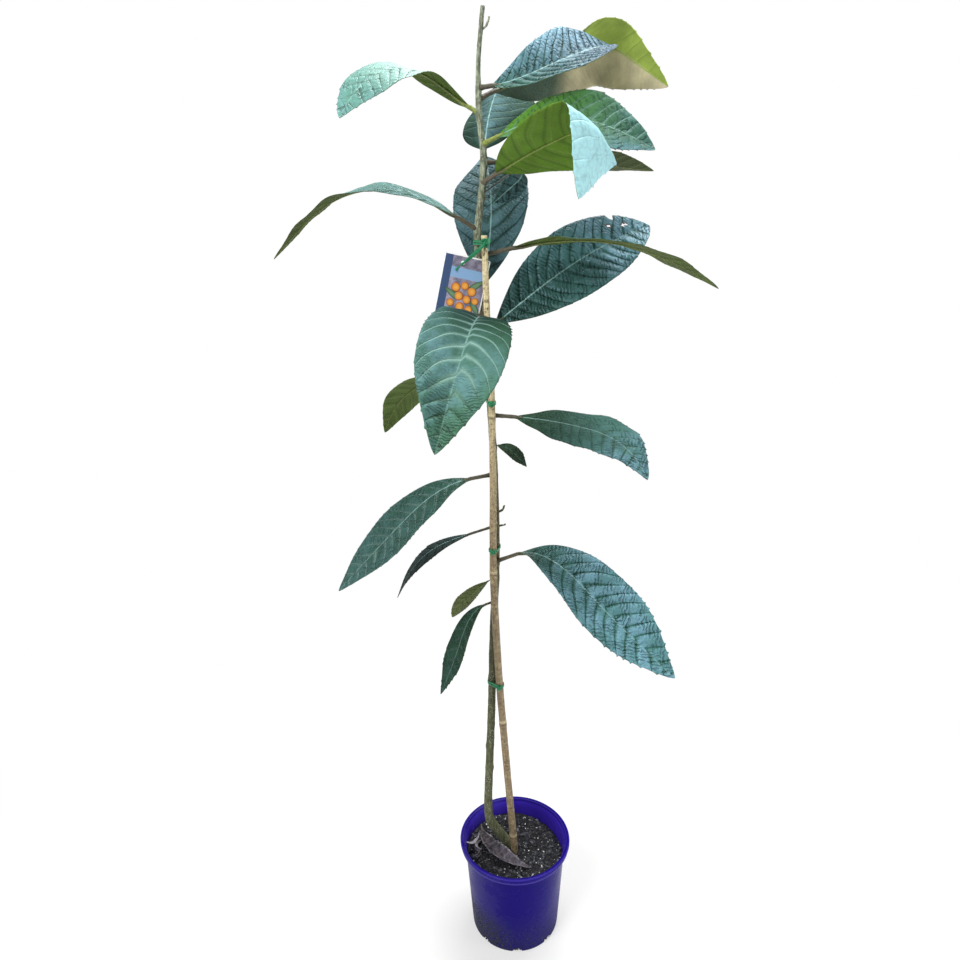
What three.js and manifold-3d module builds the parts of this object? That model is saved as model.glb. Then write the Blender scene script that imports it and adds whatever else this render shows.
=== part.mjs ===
import * as THREE from 'three';
import Module from 'manifold-3d';
import { mergeVertices } from 'three/addons/utils/BufferGeometryUtils.js';

// A young loquat tree in a nursery pot, tied to a bamboo stake and carrying a hang label.
// Millimetres, +Z up, +X to the right of the front view. The origin is the centre of the
// pot's flat foot, on the ground.

const wasm = await Module();
wasm.setup();

// ---- driving dimensions ----
const gap = 0.35; // clearance between touching pieces

const pot = {
  height: 190,
  rimRadius: 100,
  rimWidth: 6.8, // radial width of the rolled rim
  rimDrop: 11.6, // height of the rim's outer skirt
  neckRadius: 91, // wall just below the rim
  footRadius: 80,
  wall: 1.8,
  floor: 2.2,
  beadDrop: 15, // the thin bead below the rim, from the top
  sides: 56,
};
const drain = { count: 8, width: 15, height: 7, depth: 9 };

const mixTop = 154; // level of the potting mix
const stakeFoot = 40;
const trunkFoot = 75;

const tieHeight = 6; // ribbon width of the ties
const tieThickness = 1.1;

const label = { width: 64, height: 98, thickness: 0.7, corner: 2, hole: 2.8, lean: 13.3 };

const leafThickness = 1.2;
const bladePeak = 0.56; // where along the blade a leaf is widest

// ---- routes ----
const toPoint = ([x, y, z]) => new THREE.Vector3(x, y, z);

// The trunk leaves the mix beside the stake, swings out to the left and then climbs.
const trunkRoute = new THREE.CatmullRomCurve3([
  [-7, 11, trunkFoot],
  [-8, 10, 150],
  [-27, 7, 189],
  [-44.5, 3, 222],
  [-47.5, 1, 258],
  [-44, 1, 350],
  [-38.5, 2, 470],
  [-34, 4.5, 612],
  [-27.5, 4.5, 740],
  [-28, 2.5, 880],
  [-33, 2, 1009],
  [-43.5, 2, 1153],
  [-46.5, 2, 1238],
  [-36.5, 1, 1332],
  [-41.5, 1, 1392],
  [-41, 0, 1453],
  [-34.5, 0, 1513],
].map(toPoint), false, 'centripetal');

// The stake leans a little to the left, with a slight kink at one of its joints.
const stakeRoute = new THREE.CatmullRomCurve3([
  [8, -3, stakeFoot],
  [0, -5, 156],
  [-17, -6.5, 405],
  [-26, -7.5, 558],
  [-31.5, -9, 728],
  [-30, -10.5, 884],
  [-30.5, -11.5, 1011],
  [-35, -13, 1141],
  [-37, -14, 1240],
].map(toPoint), false, 'centripetal');

const trunkTaper = [[trunkFoot, 8.8], [200, 8.8], [235, 8], [290, 7.2], [380, 6.8], [520, 6.3],
  [620, 5.9], [1009, 5.3], [1240, 5], [1315, 4.7], [1450, 3.6], [1513, 3.4]];
const stakeTaper = [[stakeFoot, 7.3], [156, 7.2], [350, 6.9], [520, 6.4], [728, 5.8], [1240, 4.2]];
const stakeJoints = [194, 443, 728, 985]; // heights of the bamboo's rings

// Height above ground of each leaf's seat on the trunk, then its petiole and blade. Heading is
// the compass of the midrib (0 = right, 90 = back, -90 = front) and rise its climb at the seat.
// The blade turns down by bend degrees around bendAt, turns about itself by twist, and curves
// in its own plane by sweep; cup lifts both halves. Lengths are millimetres, angles degrees.
const leaves = [
  { name: 'leaf_crown', height: 1408, heading: 35, rise: 24, roll: 18, petiole: 22, blade: 310,
    width: 109, bend: 90, bendAt: 0.62, bendSpan: 0.35, twist: 50, sweep: 2, cup: -18 },
  { name: 'leaf_top_right', height: 1421, heading: -20, rise: 4, roll: -50, petiole: 18,
    blade: 190, width: 99, bend: 42, bendAt: 0.63, bendSpan: 0.89, twist: 7, sweep: -75, cup: 18 },
  { name: 'leaf_top_left', height: 1391, heading: 162, rise: 39, roll: -14, petiole: 13,
    blade: 219, width: 92, bend: 75, bendAt: 0.48, bendSpan: 0.76, twist: 34, sweep: -74, cup: -4 },
  { name: 'leaf_back_upper', height: 1338, heading: 86, rise: 44, roll: 14, petiole: 15,
    blade: 188, width: 123, bend: 15, bendAt: 0.49, bendSpan: 0.92, twist: 0, sweep: 8, cup: -29 },
  { name: 'leaf_shoulder', height: 1354, heading: -38, rise: 17, roll: -46, petiole: 25,
    blade: 220, width: 90, bend: 61, bendAt: 0.48, bendSpan: 1, twist: -1, sweep: 3, cup: 7 },
  { name: 'leaf_behind', height: 1332, heading: 14, rise: 1, roll: 8, petiole: 22, blade: 220,
    width: 82, bend: 8, bendAt: 0.44, bendSpan: 0.9, twist: 6, sweep: 0, cup: 10 },
  { name: 'leaf_small_upper', height: 1292, heading: -2, rise: 33, roll: 50, petiole: 48,
    blade: 77, width: 35, bend: 180, bendAt: 0.22, bendSpan: 0.6, twist: 0, sweep: -2, cup: 11 },
  { name: 'leaf_folded', height: 1306, heading: -54, rise: 18, roll: 19, petiole: 32, blade: 270,
    width: 114, bend: 100, bendAt: 0.7, bendSpan: 0.17, twist: 17, sweep: -24, cup: -9 },
  { name: 'leaf_left_long', height: 1247, heading: 192, rise: 31, roll: 19, petiole: 30,
    blade: 290, width: 82, bend: 77, bendAt: 0.46, bendSpan: 0.9, twist: -14, sweep: -6, cup: 3 },
  { name: 'leaf_right_long', height: 1212, heading: -24, rise: 12, roll: 4, petiole: 50,
    blade: 292, width: 86, bend: 40, bendAt: 0.49, bendSpan: 1.08, twist: 11, sweep: -33, cup: 1 },
  { name: 'leaf_back_lower', height: 1154, heading: 65, rise: 64, roll: -6, petiole: 20,
    blade: 236, width: 112, bend: 23, bendAt: 0.43, bendSpan: 0.91, twist: -11, sweep: -28,
    cup: 7 },
  { name: 'leaf_front', height: 1134, heading: -93, rise: 2, roll: 14, petiole: 29, blade: 306,
    width: 112, bend: 64, bendAt: 0.57, bendSpan: 0.88, twist: 2, sweep: -2, cup: 18 },
  { name: 'leaf_right_broad', height: 1106, heading: 6, rise: 38, roll: -61, petiole: 20,
    blade: 267, width: 112, bend: 30, bendAt: 0.65, bendSpan: 0.87, twist: 10, sweep: 6, cup: 6 },
  { name: 'leaf_left_olive', height: 1061, heading: 169, rise: -17, roll: -15, petiole: 26,
    blade: 176, width: 76, bend: 73, bendAt: 0.69, bendSpan: 0.83, twist: -32, sweep: 2, cup: -3 },
  { name: 'leaf_right_middle', height: 985, heading: -21, rise: 1, roll: -20, petiole: 36,
    blade: 237, width: 96, bend: 66, bendAt: 0.86, bendSpan: 0.8, twist: 17, sweep: 35, cup: -2 },
  { name: 'leaf_small_right', height: 938, heading: -52, rise: 12, roll: -20, petiole: 11,
    blade: 64, width: 22, bend: 59, bendAt: 0.39, bendSpan: 0.88, twist: -5, sweep: 1, cup: 10 },
  { name: 'leaf_left_middle', height: 892, heading: 210, rise: 0, roll: 12, petiole: 39,
    blade: 262, width: 86, bend: 57, bendAt: 0.11, bendSpan: 0.77, twist: -5, sweep: -7, cup: 3 },
  { name: 'leaf_left_narrow', height: 806, heading: 194, rise: -13, roll: 5, petiole: 42,
    blade: 163, width: 46, bend: 51, bendAt: 0.49, bendSpan: 0.9, twist: -13, sweep: 1, cup: -1 },
  { name: 'leaf_right_low', height: 744, heading: -49, rise: 31, roll: 3, petiole: 59, blade: 312,
    width: 109, bend: 83, bendAt: 0.16, bendSpan: 0.76, twist: -24, sweep: -15, cup: 15 },
  { name: 'leaf_small_left', height: 718, heading: 172, rise: -40, roll: -45, petiole: 16,
    blade: 88, width: 35, bend: 20, bendAt: 0.4, bendSpan: 0.91, twist: -9, sweep: -3, cup: 10 },
  { name: 'leaf_left_low', height: 672, heading: 231, rise: 9, roll: -10, petiole: 22, blade: 166,
    width: 42, bend: 78, bendAt: 0.16, bendSpan: 0.66, twist: 1, sweep: 15, cup: 12 },
];

// A dry leaf that has dropped onto the mix, curled along its midrib.
const droppedLeaf = { name: 'fallen_leaf', seat: [-64, 54, 161], heading: -83, rise: 0, roll: 0,
  petiole: 8, blade: 136, width: 34, bend: 4, bendAt: 0.5, bendSpan: 0.9, twist: 0, sweep: -78,
  cup: 24 };

// ---- helpers ----
const radians = THREE.MathUtils.degToRad;

const material = (color, roughness) =>
  new THREE.MeshStandardMaterial({ color, roughness, metalness: 0 });

function addMesh(parent, name, geometry, look) {
  const mesh = new THREE.Mesh(geometry, look);
  mesh.name = name;
  parent.add(mesh);
  return mesh;
}

// Value of a table of [height, value] rows at a height, straight between rows.
function tableAt(rows, height) {
  const next = rows.findIndex((row) => row[0] > height);
  if (next === 0) return rows[0][1];
  if (next < 0) return rows[rows.length - 1][1];
  const [lowZ, low] = rows[next - 1];
  const [highZ, high] = rows[next];
  return THREE.MathUtils.mapLinear(height, lowZ, highZ, low, high);
}

// The point of a climbing route at a height.
function routeAt(route, height) {
  let low = 0;
  let high = 1;
  for (let i = 0; i < 40; i += 1) {
    const middle = (low + high) / 2;
    if (route.getPoint(middle).z < height) low = middle;
    else high = middle;
  }
  return route.getPoint(low);
}

function toSolid(geometry) {
  const bare = geometry.clone();
  bare.deleteAttribute('normal');
  bare.deleteAttribute('uv');
  const merged = mergeVertices(bare, 1e-4);
  return new wasm.Manifold(new wasm.Mesh({
    numProp: 3,
    vertProperties: new Float32Array(merged.attributes.position.array),
    triVerts: new Uint32Array(merged.index.array),
  }));
}

function toGeometry(solid) {
  const mesh = solid.getMesh();
  const geometry = new THREE.BufferGeometry();
  geometry.setAttribute('position', new THREE.BufferAttribute(mesh.vertProperties, 3));
  geometry.setIndex(new THREE.BufferAttribute(mesh.triVerts, 1));
  geometry.computeVertexNormals();
  return geometry;
}

// A closed round rod along a route: a cylinder whose rings are moved onto the route and
// scaled to the radius at their height.
function rodGeometry(route, radiusAt, sides, rings) {
  const geometry = new THREE.CylinderGeometry(1, 1, 1, sides, rings);
  const place = geometry.attributes.position;
  const right = new THREE.Vector3(1, 0, 0);
  const point = new THREE.Vector3();
  for (let i = 0; i < place.count; i += 1) {
    const u = THREE.MathUtils.clamp(place.getY(i) + 0.5, 0, 1);
    const centre = route.getPointAt(u);
    const along = route.getTangentAt(u);
    const back = new THREE.Vector3().crossVectors(along, right).normalize();
    const side = new THREE.Vector3().crossVectors(back, along).normalize();
    const radius = radiusAt(centre.z);
    point.copy(centre);
    point.addScaledVector(side, place.getX(i) * radius);
    point.addScaledVector(back, -place.getZ(i) * radius);
    place.setXYZ(i, point.x, point.y, point.z);
  }
  geometry.computeVertexNormals();
  return geometry;
}

// The outline round two circles, as a belt would lie, pushed out by an offset.
function beltPoints(circles, offset, count) {
  const points = [];
  for (let i = 0; i < count; i += 1) {
    const angle = (i / count) * 2 * Math.PI;
    const way = new THREE.Vector2(Math.cos(angle), Math.sin(angle));
    const reach = circles.map((circle) => circle.centre.dot(way) + circle.radius);
    const far = circles[reach[0] > reach[1] ? 0 : 1];
    points.push(far.centre.clone().addScaledVector(way, far.radius + offset));
  }
  return points;
}

// ---- leaves ----
const easeStep = (x) => THREE.MathUtils.smoothstep(x, 0, 1);

// Half width of a blade of half width 1: rises in a straight line, peaks, closes to a tip.
function bladeShare(t) {
  const fall = (1 - bladePeak) / bladePeak;
  return (t / bladePeak) * ((1 - t) / (1 - bladePeak)) ** fall;
}

// Frames along a leaf, from its seat: point, direction, side and up at each station.
function leafStations(leaf, seat, start, petioleRings, bladeRings) {
  const heading = radians(leaf.heading);
  const rise = radians(leaf.rise);
  const along = new THREE.Vector3(Math.cos(rise) * Math.cos(heading),
    Math.cos(rise) * Math.sin(heading), Math.sin(rise));
  const side = new THREE.Vector3(Math.sin(heading), -Math.cos(heading), 0);
  const up = new THREE.Vector3().crossVectors(side, along);
  side.applyAxisAngle(along, -radians(leaf.roll));
  up.applyAxisAngle(along, -radians(leaf.roll));
  const point = seat.clone().addScaledVector(along, start);
  const stations = [];
  const keep = (t) => {
    stations.push({ t, point: point.clone(), side: side.clone(), up: up.clone() });
  };
  for (let i = 0; i < petioleRings; i += 1) {
    keep(0);
    point.addScaledVector(along, (leaf.petiole - start) / petioleRings);
  }
  keep(0);
  const steps = 5 * bladeRings;
  const turned = (t) => easeStep((t - leaf.bendAt) / leaf.bendSpan + 0.5);
  for (let i = 0; i < steps; i += 1) {
    const t = (i + 1) / steps;
    const bend = radians(leaf.bend) * (turned(t) - turned(i / steps));
    along.applyAxisAngle(side, -bend);
    up.applyAxisAngle(side, -bend);
    along.applyAxisAngle(up, -radians(leaf.sweep) / steps);
    side.applyAxisAngle(up, -radians(leaf.sweep) / steps);
    side.applyAxisAngle(along, -radians(leaf.twist) / steps);
    up.applyAxisAngle(along, -radians(leaf.twist) / steps);
    point.addScaledVector(along, leaf.blade / steps);
    if ((i + 1) % 5 === 0) keep(t);
  }
  return stations;
}

// A petiole and blade in one closed body: a box whose cross-sections are moved onto the
// stations, widened to the blade's outline and thinned towards the margins.
function leafGeometry(leaf, seat, start) {
  const small = leaf.blade < 100;
  const petioleRings = 1;
  const bladeRings = small ? 8 : 14;
  const across = small ? 2 : 4;
  const rings = petioleRings + bladeRings;
  const stations = leafStations(leaf, seat, start, petioleRings, bladeRings);
  const stalk = small ? 1.1 : 1.9; // half width of the petiole
  const geometry = new THREE.BoxGeometry(1, 1, 1, rings, across, 1);
  const place = geometry.attributes.position;
  const cup = radians(leaf.cup);
  for (let i = 0; i < place.count; i += 1) {
    const station = stations[Math.round((place.getX(i) + 0.5) * rings)];
    const v = place.getY(i) * 2;
    const blade = (leaf.width / 2) * bladeShare(station.t);
    const half = Math.max(blade, THREE.MathUtils.lerp(stalk, 0.5, station.t));
    const thick = THREE.MathUtils.lerp(1.6 * stalk, leafThickness, easeStep(station.t * 4));
    const lift = place.getZ(i) * thick * (1 - 0.35 * Math.abs(v));
    const point = station.point.clone();
    point.addScaledVector(station.side, -v * half * Math.cos(cup));
    point.addScaledVector(station.up, Math.abs(v) * half * Math.sin(cup) + lift);
    place.setXYZ(i, point.x, point.y, point.z);
  }
  geometry.computeVertexNormals();
  return geometry;
}

// ---- looks ----
const looks = {
  pot: material(0x2b1a9a, 0.32),
  mix: material(0x2c2521, 0.95),
  bark: material(0x74705a, 0.85),
  bamboo: material(0xb3976a, 0.6),
  leaf: material(0x2f5f55, 0.5),
  youngLeaf: material(0x4d7d28, 0.5),
  dryLeaf: material(0x74675a, 0.9),
  tie: material(0x12a15f, 0.4),
  label: material(0x5d7596, 0.35),
};

const group = new THREE.Group();

// ---- pot: a lathed shell with drainage notches at the foot ----
const neckZ = pot.height - pot.rimDrop;
const wallAt = (z) => THREE.MathUtils.mapLinear(z, 0, neckZ, pot.footRadius, pot.neckRadius);
const rimInner = pot.rimRadius - pot.rimWidth;
const beadZ = pot.height - pot.beadDrop;
const potProfile = [
  [0, 0],
  [pot.footRadius - 2, 0],
  [wallAt(2), 2],
  [wallAt(beadZ - 2), beadZ - 2],
  [wallAt(beadZ) + 1.4, beadZ],
  [wallAt(beadZ + 2), beadZ + 2],
  [pot.neckRadius, neckZ + 2],
  [pot.rimRadius - 1.6, neckZ],
  [pot.rimRadius - 0.6, neckZ + 0.6],
  [pot.rimRadius, pot.height - 2],
  [pot.rimRadius - 1.4, pot.height - 0.4],
  [pot.rimRadius - 3.2, pot.height],
  [rimInner + 2.2, pot.height],
  [rimInner + 0.4, pot.height - 1],
  [rimInner - 0.4, pot.height - 4],
  [wallAt(beadZ - 8) - pot.wall, beadZ - 8],
  [wallAt(pot.floor + 2) - pot.wall, pot.floor + 2],
  [wallAt(pot.floor) - pot.wall - 2, pot.floor],
  [0, pot.floor],
].map(([r, z]) => new THREE.Vector2(r, z));

let potSolid = toSolid(new THREE.LatheGeometry(potProfile, pot.sides).rotateX(Math.PI / 2));
for (let i = 0; i < drain.count; i += 1) {
  const notch = new THREE.BoxGeometry(2 * drain.depth, drain.width, 2 * drain.height);
  notch.translate(pot.footRadius, 0, 0);
  notch.rotateZ(((i + 0.05) / drain.count) * 2 * Math.PI);
  potSolid = potSolid.subtract(toSolid(notch));
}
addMesh(group, 'pot', toGeometry(potSolid), looks.pot);

// ---- trunk with its leaf scars, one stub and the forked tip ----
const trunkRadius = (z) => tableAt(trunkTaper, z);
let trunkSolid = toSolid(rodGeometry(trunkRoute, trunkRadius, 10, 60));
const twigs = [
  { from: 1468, to: [-27, 2, 1502], radius: 1.9 },
  { from: 828, to: [-13, -2, 842], radius: 2.2 },
  { from: 806, to: [-13, -3, 812], radius: 1.8 },
];
for (const twig of twigs) {
  const route = new THREE.LineCurve3(routeAt(trunkRoute, twig.from), toPoint(twig.to));
  trunkSolid = trunkSolid.add(toSolid(rodGeometry(route, () => twig.radius, 8, 1)));
}
addMesh(group, 'trunk', toGeometry(trunkSolid), looks.bark);

// ---- bamboo stake with its joints ----
const stakeRadius = (z) => tableAt(stakeTaper, z);
const stakeSwell = (z) => stakeJoints.reduce(
  (sum, joint) => sum + 0.7 * Math.exp(-(((z - joint) / 7) ** 2)), stakeRadius(z));
addMesh(group, 'bamboo_stake', rodGeometry(stakeRoute, stakeSwell, 10, 60), looks.bamboo);

// ---- potting mix, bored for the trunk and the stake ----
const mixProfile = [
  [0, pot.floor + gap],
  [wallAt(pot.floor) - pot.wall - 3, pot.floor + gap],
  [wallAt(pot.floor + 6) - pot.wall - gap - 0.2, pot.floor + 6],
  [wallAt(mixTop - 3) - pot.wall - gap - 0.2, mixTop - 3],
  [wallAt(mixTop) - pot.wall - 12, mixTop],
  [0, mixTop],
].map(([r, z]) => new THREE.Vector2(r, z));
let mixSolid = toSolid(new THREE.LatheGeometry(mixProfile, pot.sides).rotateX(Math.PI / 2));
for (const [route, radiusAt, rings] of [[trunkRoute, trunkRadius, 60], [stakeRoute, stakeSwell, 60]]) {
  const bore = toSolid(rodGeometry(route, (z) => radiusAt(z) + gap, 10, rings));
  mixSolid = mixSolid.subtract(bore).subtract(bore.translate(0, 0, -gap));
}
addMesh(group, 'potting_mix', toGeometry(mixSolid), looks.mix);

// ---- leaves ----
for (const leaf of leaves) {
  const seat = routeAt(trunkRoute, leaf.height);
  const rise = radians(leaf.rise);
  const clear = trunkRadius(leaf.height) + gap + 0.3 + 1.9 * Math.abs(Math.sin(rise));
  const young = leaf.name === 'leaf_crown' || leaf.name === 'leaf_folded';
  addMesh(group, leaf.name, leafGeometry(leaf, seat, clear / Math.cos(rise)),
    young ? looks.youngLeaf : looks.leaf);
}
addMesh(group, droppedLeaf.name, leafGeometry(droppedLeaf, toPoint(droppedLeaf.seat), 0),
  looks.dryLeaf);

// ---- ties: a ribbon belt round trunk and stake, with a knot in front ----
const tieLevels = { tie_top: 1230, tie_upper: 1007, tie_middle: 770, tie_lower: 520 };
for (const [name, level] of Object.entries(tieLevels)) {
  const trunkHere = routeAt(trunkRoute, level);
  const stakeHere = routeAt(stakeRoute, level);
  const circles = [
    { centre: new THREE.Vector2(trunkHere.x, trunkHere.y), radius: trunkRadius(level) + 0.25 },
    { centre: new THREE.Vector2(stakeHere.x, stakeHere.y), radius: stakeRadius(level) + 0.25 },
  ];
  const outline = new THREE.Shape(beltPoints(circles, gap + tieThickness, 28));
  outline.holes.push(new THREE.Path(beltPoints(circles, gap, 28)));
  const belt = new THREE.ExtrudeGeometry(outline, { depth: tieHeight, bevelEnabled: false });
  belt.translate(0, 0, level - tieHeight / 2);
  const knot = new THREE.SphereGeometry(1, 10, 7).scale(5.5, 3, 5);
  knot.translate(stakeHere.x + 1, stakeHere.y - stakeRadius(level) - gap - 3.2, level);
  addMesh(group, name, toGeometry(toSolid(belt).add(toSolid(knot))), looks.tie);
}

// ---- hang label: a rounded card with a punched hole, between trunk and stake ----
const halfWidth = label.width / 2;
const card = new THREE.Shape();
card.moveTo(-halfWidth + label.corner, -label.height);
card.lineTo(halfWidth - label.corner, -label.height);
card.quadraticCurveTo(halfWidth, -label.height, halfWidth, -label.height + label.corner);
card.lineTo(halfWidth, -label.corner);
card.quadraticCurveTo(halfWidth, 0, halfWidth - label.corner, 0);
card.lineTo(-halfWidth + label.corner, 0);
card.quadraticCurveTo(-halfWidth, 0, -halfWidth, -label.corner);
card.lineTo(-halfWidth, -label.height + label.corner);
card.quadraticCurveTo(-halfWidth, -label.height, -halfWidth + label.corner, -label.height);
const punch = new THREE.Path();
punch.absarc(-5, -10, label.hole, 0, 2 * Math.PI, true);
card.holes.push(punch);
const cardGeometry = new THREE.ExtrudeGeometry(card, {
  depth: label.thickness, bevelEnabled: false, curveSegments: 4,
});
cardGeometry.translate(0, 0, -label.thickness / 2);
const hang = new THREE.Group();
hang.position.set(-60, -6.5, 1213);
hang.rotation.set(0, radians(label.lean), 0);
const cardMesh = addMesh(hang, 'plant_label', cardGeometry, looks.label);
cardMesh.rotation.set(Math.PI / 2, 0, 0);
group.add(hang);

// ---- ribbon from the top knot through the label's hole ----
const ribbonRoute = new THREE.CatmullRomCurve3([
  [-40, -24, 1224.5],
  [-50, -18, 1217],
  [-60, -12, 1209],
  [-69, -8.2, 1202.5],
].map(toPoint));
const ribbonSection = new THREE.Shape([
  [-0.45, -2.5],
  [0.45, -2.5],
  [0.45, 2.5],
  [-0.45, 2.5],
].map(([x, y]) => new THREE.Vector2(x, y)));
const ribbon = new THREE.ExtrudeGeometry(ribbonSection, { steps: 16, extrudePath: ribbonRoute });
addMesh(group, 'label_ribbon', ribbon, looks.tie);

export default group;
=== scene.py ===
import math

import bpy
import numpy as np
from mathutils import Matrix, Vector


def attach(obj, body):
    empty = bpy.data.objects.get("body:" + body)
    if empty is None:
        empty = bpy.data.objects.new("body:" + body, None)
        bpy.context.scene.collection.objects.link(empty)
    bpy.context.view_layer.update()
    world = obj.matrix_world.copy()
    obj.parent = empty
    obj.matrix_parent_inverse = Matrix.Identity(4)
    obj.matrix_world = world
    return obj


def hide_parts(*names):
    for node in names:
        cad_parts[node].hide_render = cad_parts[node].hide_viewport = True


# A young loquat tree in a violet nursery pot, tied to a bamboo stake, with a hang label.
# Tables are in millimetres and degrees; everything is turned to metres as it is built.

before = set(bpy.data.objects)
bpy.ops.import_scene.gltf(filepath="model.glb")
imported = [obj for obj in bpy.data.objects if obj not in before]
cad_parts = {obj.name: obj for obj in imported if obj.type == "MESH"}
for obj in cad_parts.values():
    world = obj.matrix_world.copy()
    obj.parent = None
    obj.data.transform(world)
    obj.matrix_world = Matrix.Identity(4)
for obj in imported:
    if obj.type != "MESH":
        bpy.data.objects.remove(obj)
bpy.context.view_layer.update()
print("frame loaded:", len(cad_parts), "nodes")

mm = 0.001


# ---- shared shapes ----

def smoothStep(x, low, high):
    # 0 below low, 1 above high, and 3s^2 - 2s^3 between them
    s = np.clip((x - low) / (high - low), 0, 1)
    return s * s * (3 - 2 * s)


def unit(rows):
    return rows / np.linalg.norm(rows, axis=-1, keepdims=True)


def ripple(places, size, seed, layers=6):
    # smooth noise near -1 to 1: a mean of sine waves in random directions, with lengths near size
    pick = np.random.default_rng(seed)
    ways = unit(pick.normal(size=(layers, places.shape[-1])))
    waves = ways * (2 * math.pi / size / pick.uniform(0.6, 1.5, (layers, 1)))
    shifts = pick.uniform(0, 2 * math.pi, layers)
    return np.sin(places @ waves.T + shifts).sum(-1) / (0.62 * layers)


def fullTurn(count):
    # the angles of count equal steps round a circle
    return np.arange(count) / count * 2 * math.pi


def ringWays(across, above, around):
    # unit ways round a ring at each station: cos a across + sin a above
    turn = fullTurn(around)
    return np.cos(turn)[None, :, None] * across[:, None] + np.sin(turn)[None, :, None] * above[:, None]


def gridFaces(rows, columns, closedRows=False, closedColumns=False):
    # four corners of each cell of a rows x columns grid, whose normal is row way x column way
    i, j = np.meshgrid(np.arange(rows if closedRows else rows - 1),
                       np.arange(columns if closedColumns else columns - 1), indexing="ij")
    i, j = i.ravel(), j.ravel()
    nextI, nextJ = (i + 1) % rows, (j + 1) % columns
    return np.stack([i * columns + j, nextI * columns + j,
                     nextI * columns + nextJ, i * columns + nextJ], 1)


def tube(path, across, above, radii, around, closed=False):
    # a ring of points at each station: centre + r (cos a across + sin a above); a pole closes each end
    rows = len(path)
    radii = np.broadcast_to(np.asarray(radii, float).reshape(rows, -1), (rows, around))
    points = path[:, None] + radii[..., None] * ringWays(across, above, around)
    faces = gridFaces(rows, around, closed, True).tolist()
    points = points.reshape(-1, 3)
    if not closed:
        j = np.arange(around)
        k = (j + 1) % around
        last = (rows - 1) * around
        low = np.stack([np.full(around, rows * around), j, k], 1)
        high = np.stack([np.full(around, rows * around + 1), last + k, last + j], 1)
        faces += low.tolist() + high.tolist()
        points = np.vstack([points, path[:1], path[-1:]])
    return points, faces


def framesAlong(path, reference, closed=False):
    # across = along x reference and above = across x along, at each point of a path
    if closed:
        along = unit(np.roll(path, -1, 0) - np.roll(path, 1, 0))
    else:
        along = unit(np.gradient(path, axis=0))
    across = unit(np.cross(along, reference))
    return across, np.cross(across, along)


def throughPoints(knots, perSpan):
    # centripetal Catmull-Rom curve: each span is a cubic whose end slopes weigh the knots by
    # the square root of their distance; end knots are mirrored outwards
    knots = np.asarray(knots, float)
    padded = np.vstack([2 * knots[0] - knots[1], knots, 2 * knots[-1] - knots[-2]])
    a, b, c, d = padded[:-3], padded[1:-2], padded[2:-1], padded[3:]
    gapA, gapB, gapC = [np.sqrt(np.linalg.norm(q - p, axis=1))[:, None] for p, q in ((a, b), (b, c), (c, d))]
    slopeB = ((b - a) / gapA - (c - a) / (gapA + gapB) + (c - b) / gapB) * gapB
    slopeC = ((c - b) / gapB - (d - b) / (gapB + gapC) + (d - c) / gapC) * gapB
    s = (np.arange(perSpan) / perSpan)[None, :, None]
    b, c, slopeB, slopeC = [v[:, None] for v in (b, c, slopeB, slopeC)]
    spans = (b + slopeB * s + (-3 * b + 3 * c - 2 * slopeB - slopeC) * s ** 2
             + (2 * b - 2 * c + slopeB + slopeC) * s ** 3)
    return np.vstack([spans.reshape(-1, 3), knots[-1:]])


def evenSteps(path, count):
    # the same path with count points at equal distances along it
    run = np.concatenate([[0], np.cumsum(np.linalg.norm(np.diff(path, axis=0), axis=1))])
    at = np.linspace(0, run[-1], count)
    return np.stack([np.interp(at, run, path[:, k]) for k in range(3)], 1)


def addObject(name, data):
    made = bpy.data.objects.new(name, data)
    bpy.context.scene.collection.objects.link(made)
    return made


def thicken(piece, thickness):
    # gives a sheet its thickness, half on each side; the second material takes the back and the rim
    shell = piece.modifiers.new("thickness", "SOLIDIFY")
    shell.thickness = thickness * mm
    shell.offset = 0
    shell.material_offset = 1
    shell.material_offset_rim = 1


def addPiece(name, points, faces, materials, replaces=(), faceSlots=None, marks=None):
    # one mesh piece from points in millimetres; marks are named numbers or colours per point
    mesh = bpy.data.meshes.new(name)
    faces = faces if isinstance(faces, list) else faces.tolist()
    mesh.from_pydata((np.asarray(points) * mm).tolist(), [], faces)
    mesh.polygons.foreach_set("use_smooth", np.ones(len(mesh.polygons), bool))
    for each in materials:
        mesh.materials.append(each)
    if faceSlots is not None:
        mesh.polygons.foreach_set("material_index", np.asarray(faceSlots, np.int32))
    for mark, values in (marks or {}).items():
        values = np.asarray(values, np.float32)
        if values.ndim == 2:
            layer = mesh.attributes.new(mark, "FLOAT_COLOR", "POINT")
            layer.data.foreach_set("color", values.ravel())
        else:
            layer = mesh.attributes.new(mark, "FLOAT", "POINT")
            layer.data.foreach_set("value", values)
    mesh.update()
    piece = addObject(name, mesh)
    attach(piece, "root")
    if replaces:
        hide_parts(*replaces)
    return piece


def joinParts(parts):
    # several (points, faces) made one, with the faces' numbers moved on
    points, faces, start = [], [], 0
    for some, others in parts:
        others = others if isinstance(others, list) else others.tolist()
        points.append(np.asarray(some))
        faces += [[corner + start for corner in face] for face in others]
        start += len(some)
    return np.vstack(points), faces


# ---- shared material helpers ----

def colour(hexCode):
    # sRGB hex to linear
    parts = [int(hexCode[k:k + 2], 16) / 255 for k in (1, 3, 5)]
    return (*[c / 12.92 if c <= 0.04045 else ((c + 0.055) / 1.055) ** 2.4 for c in parts], 1.0)


def setInputs(tree, node, inputs):
    # an input is a number, a colour or another node's output
    for key, value in inputs.items():
        if isinstance(value, bpy.types.NodeSocket):
            tree.links.new(value, node.inputs[key])
        else:
            node.inputs[key].default_value = value


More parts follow.
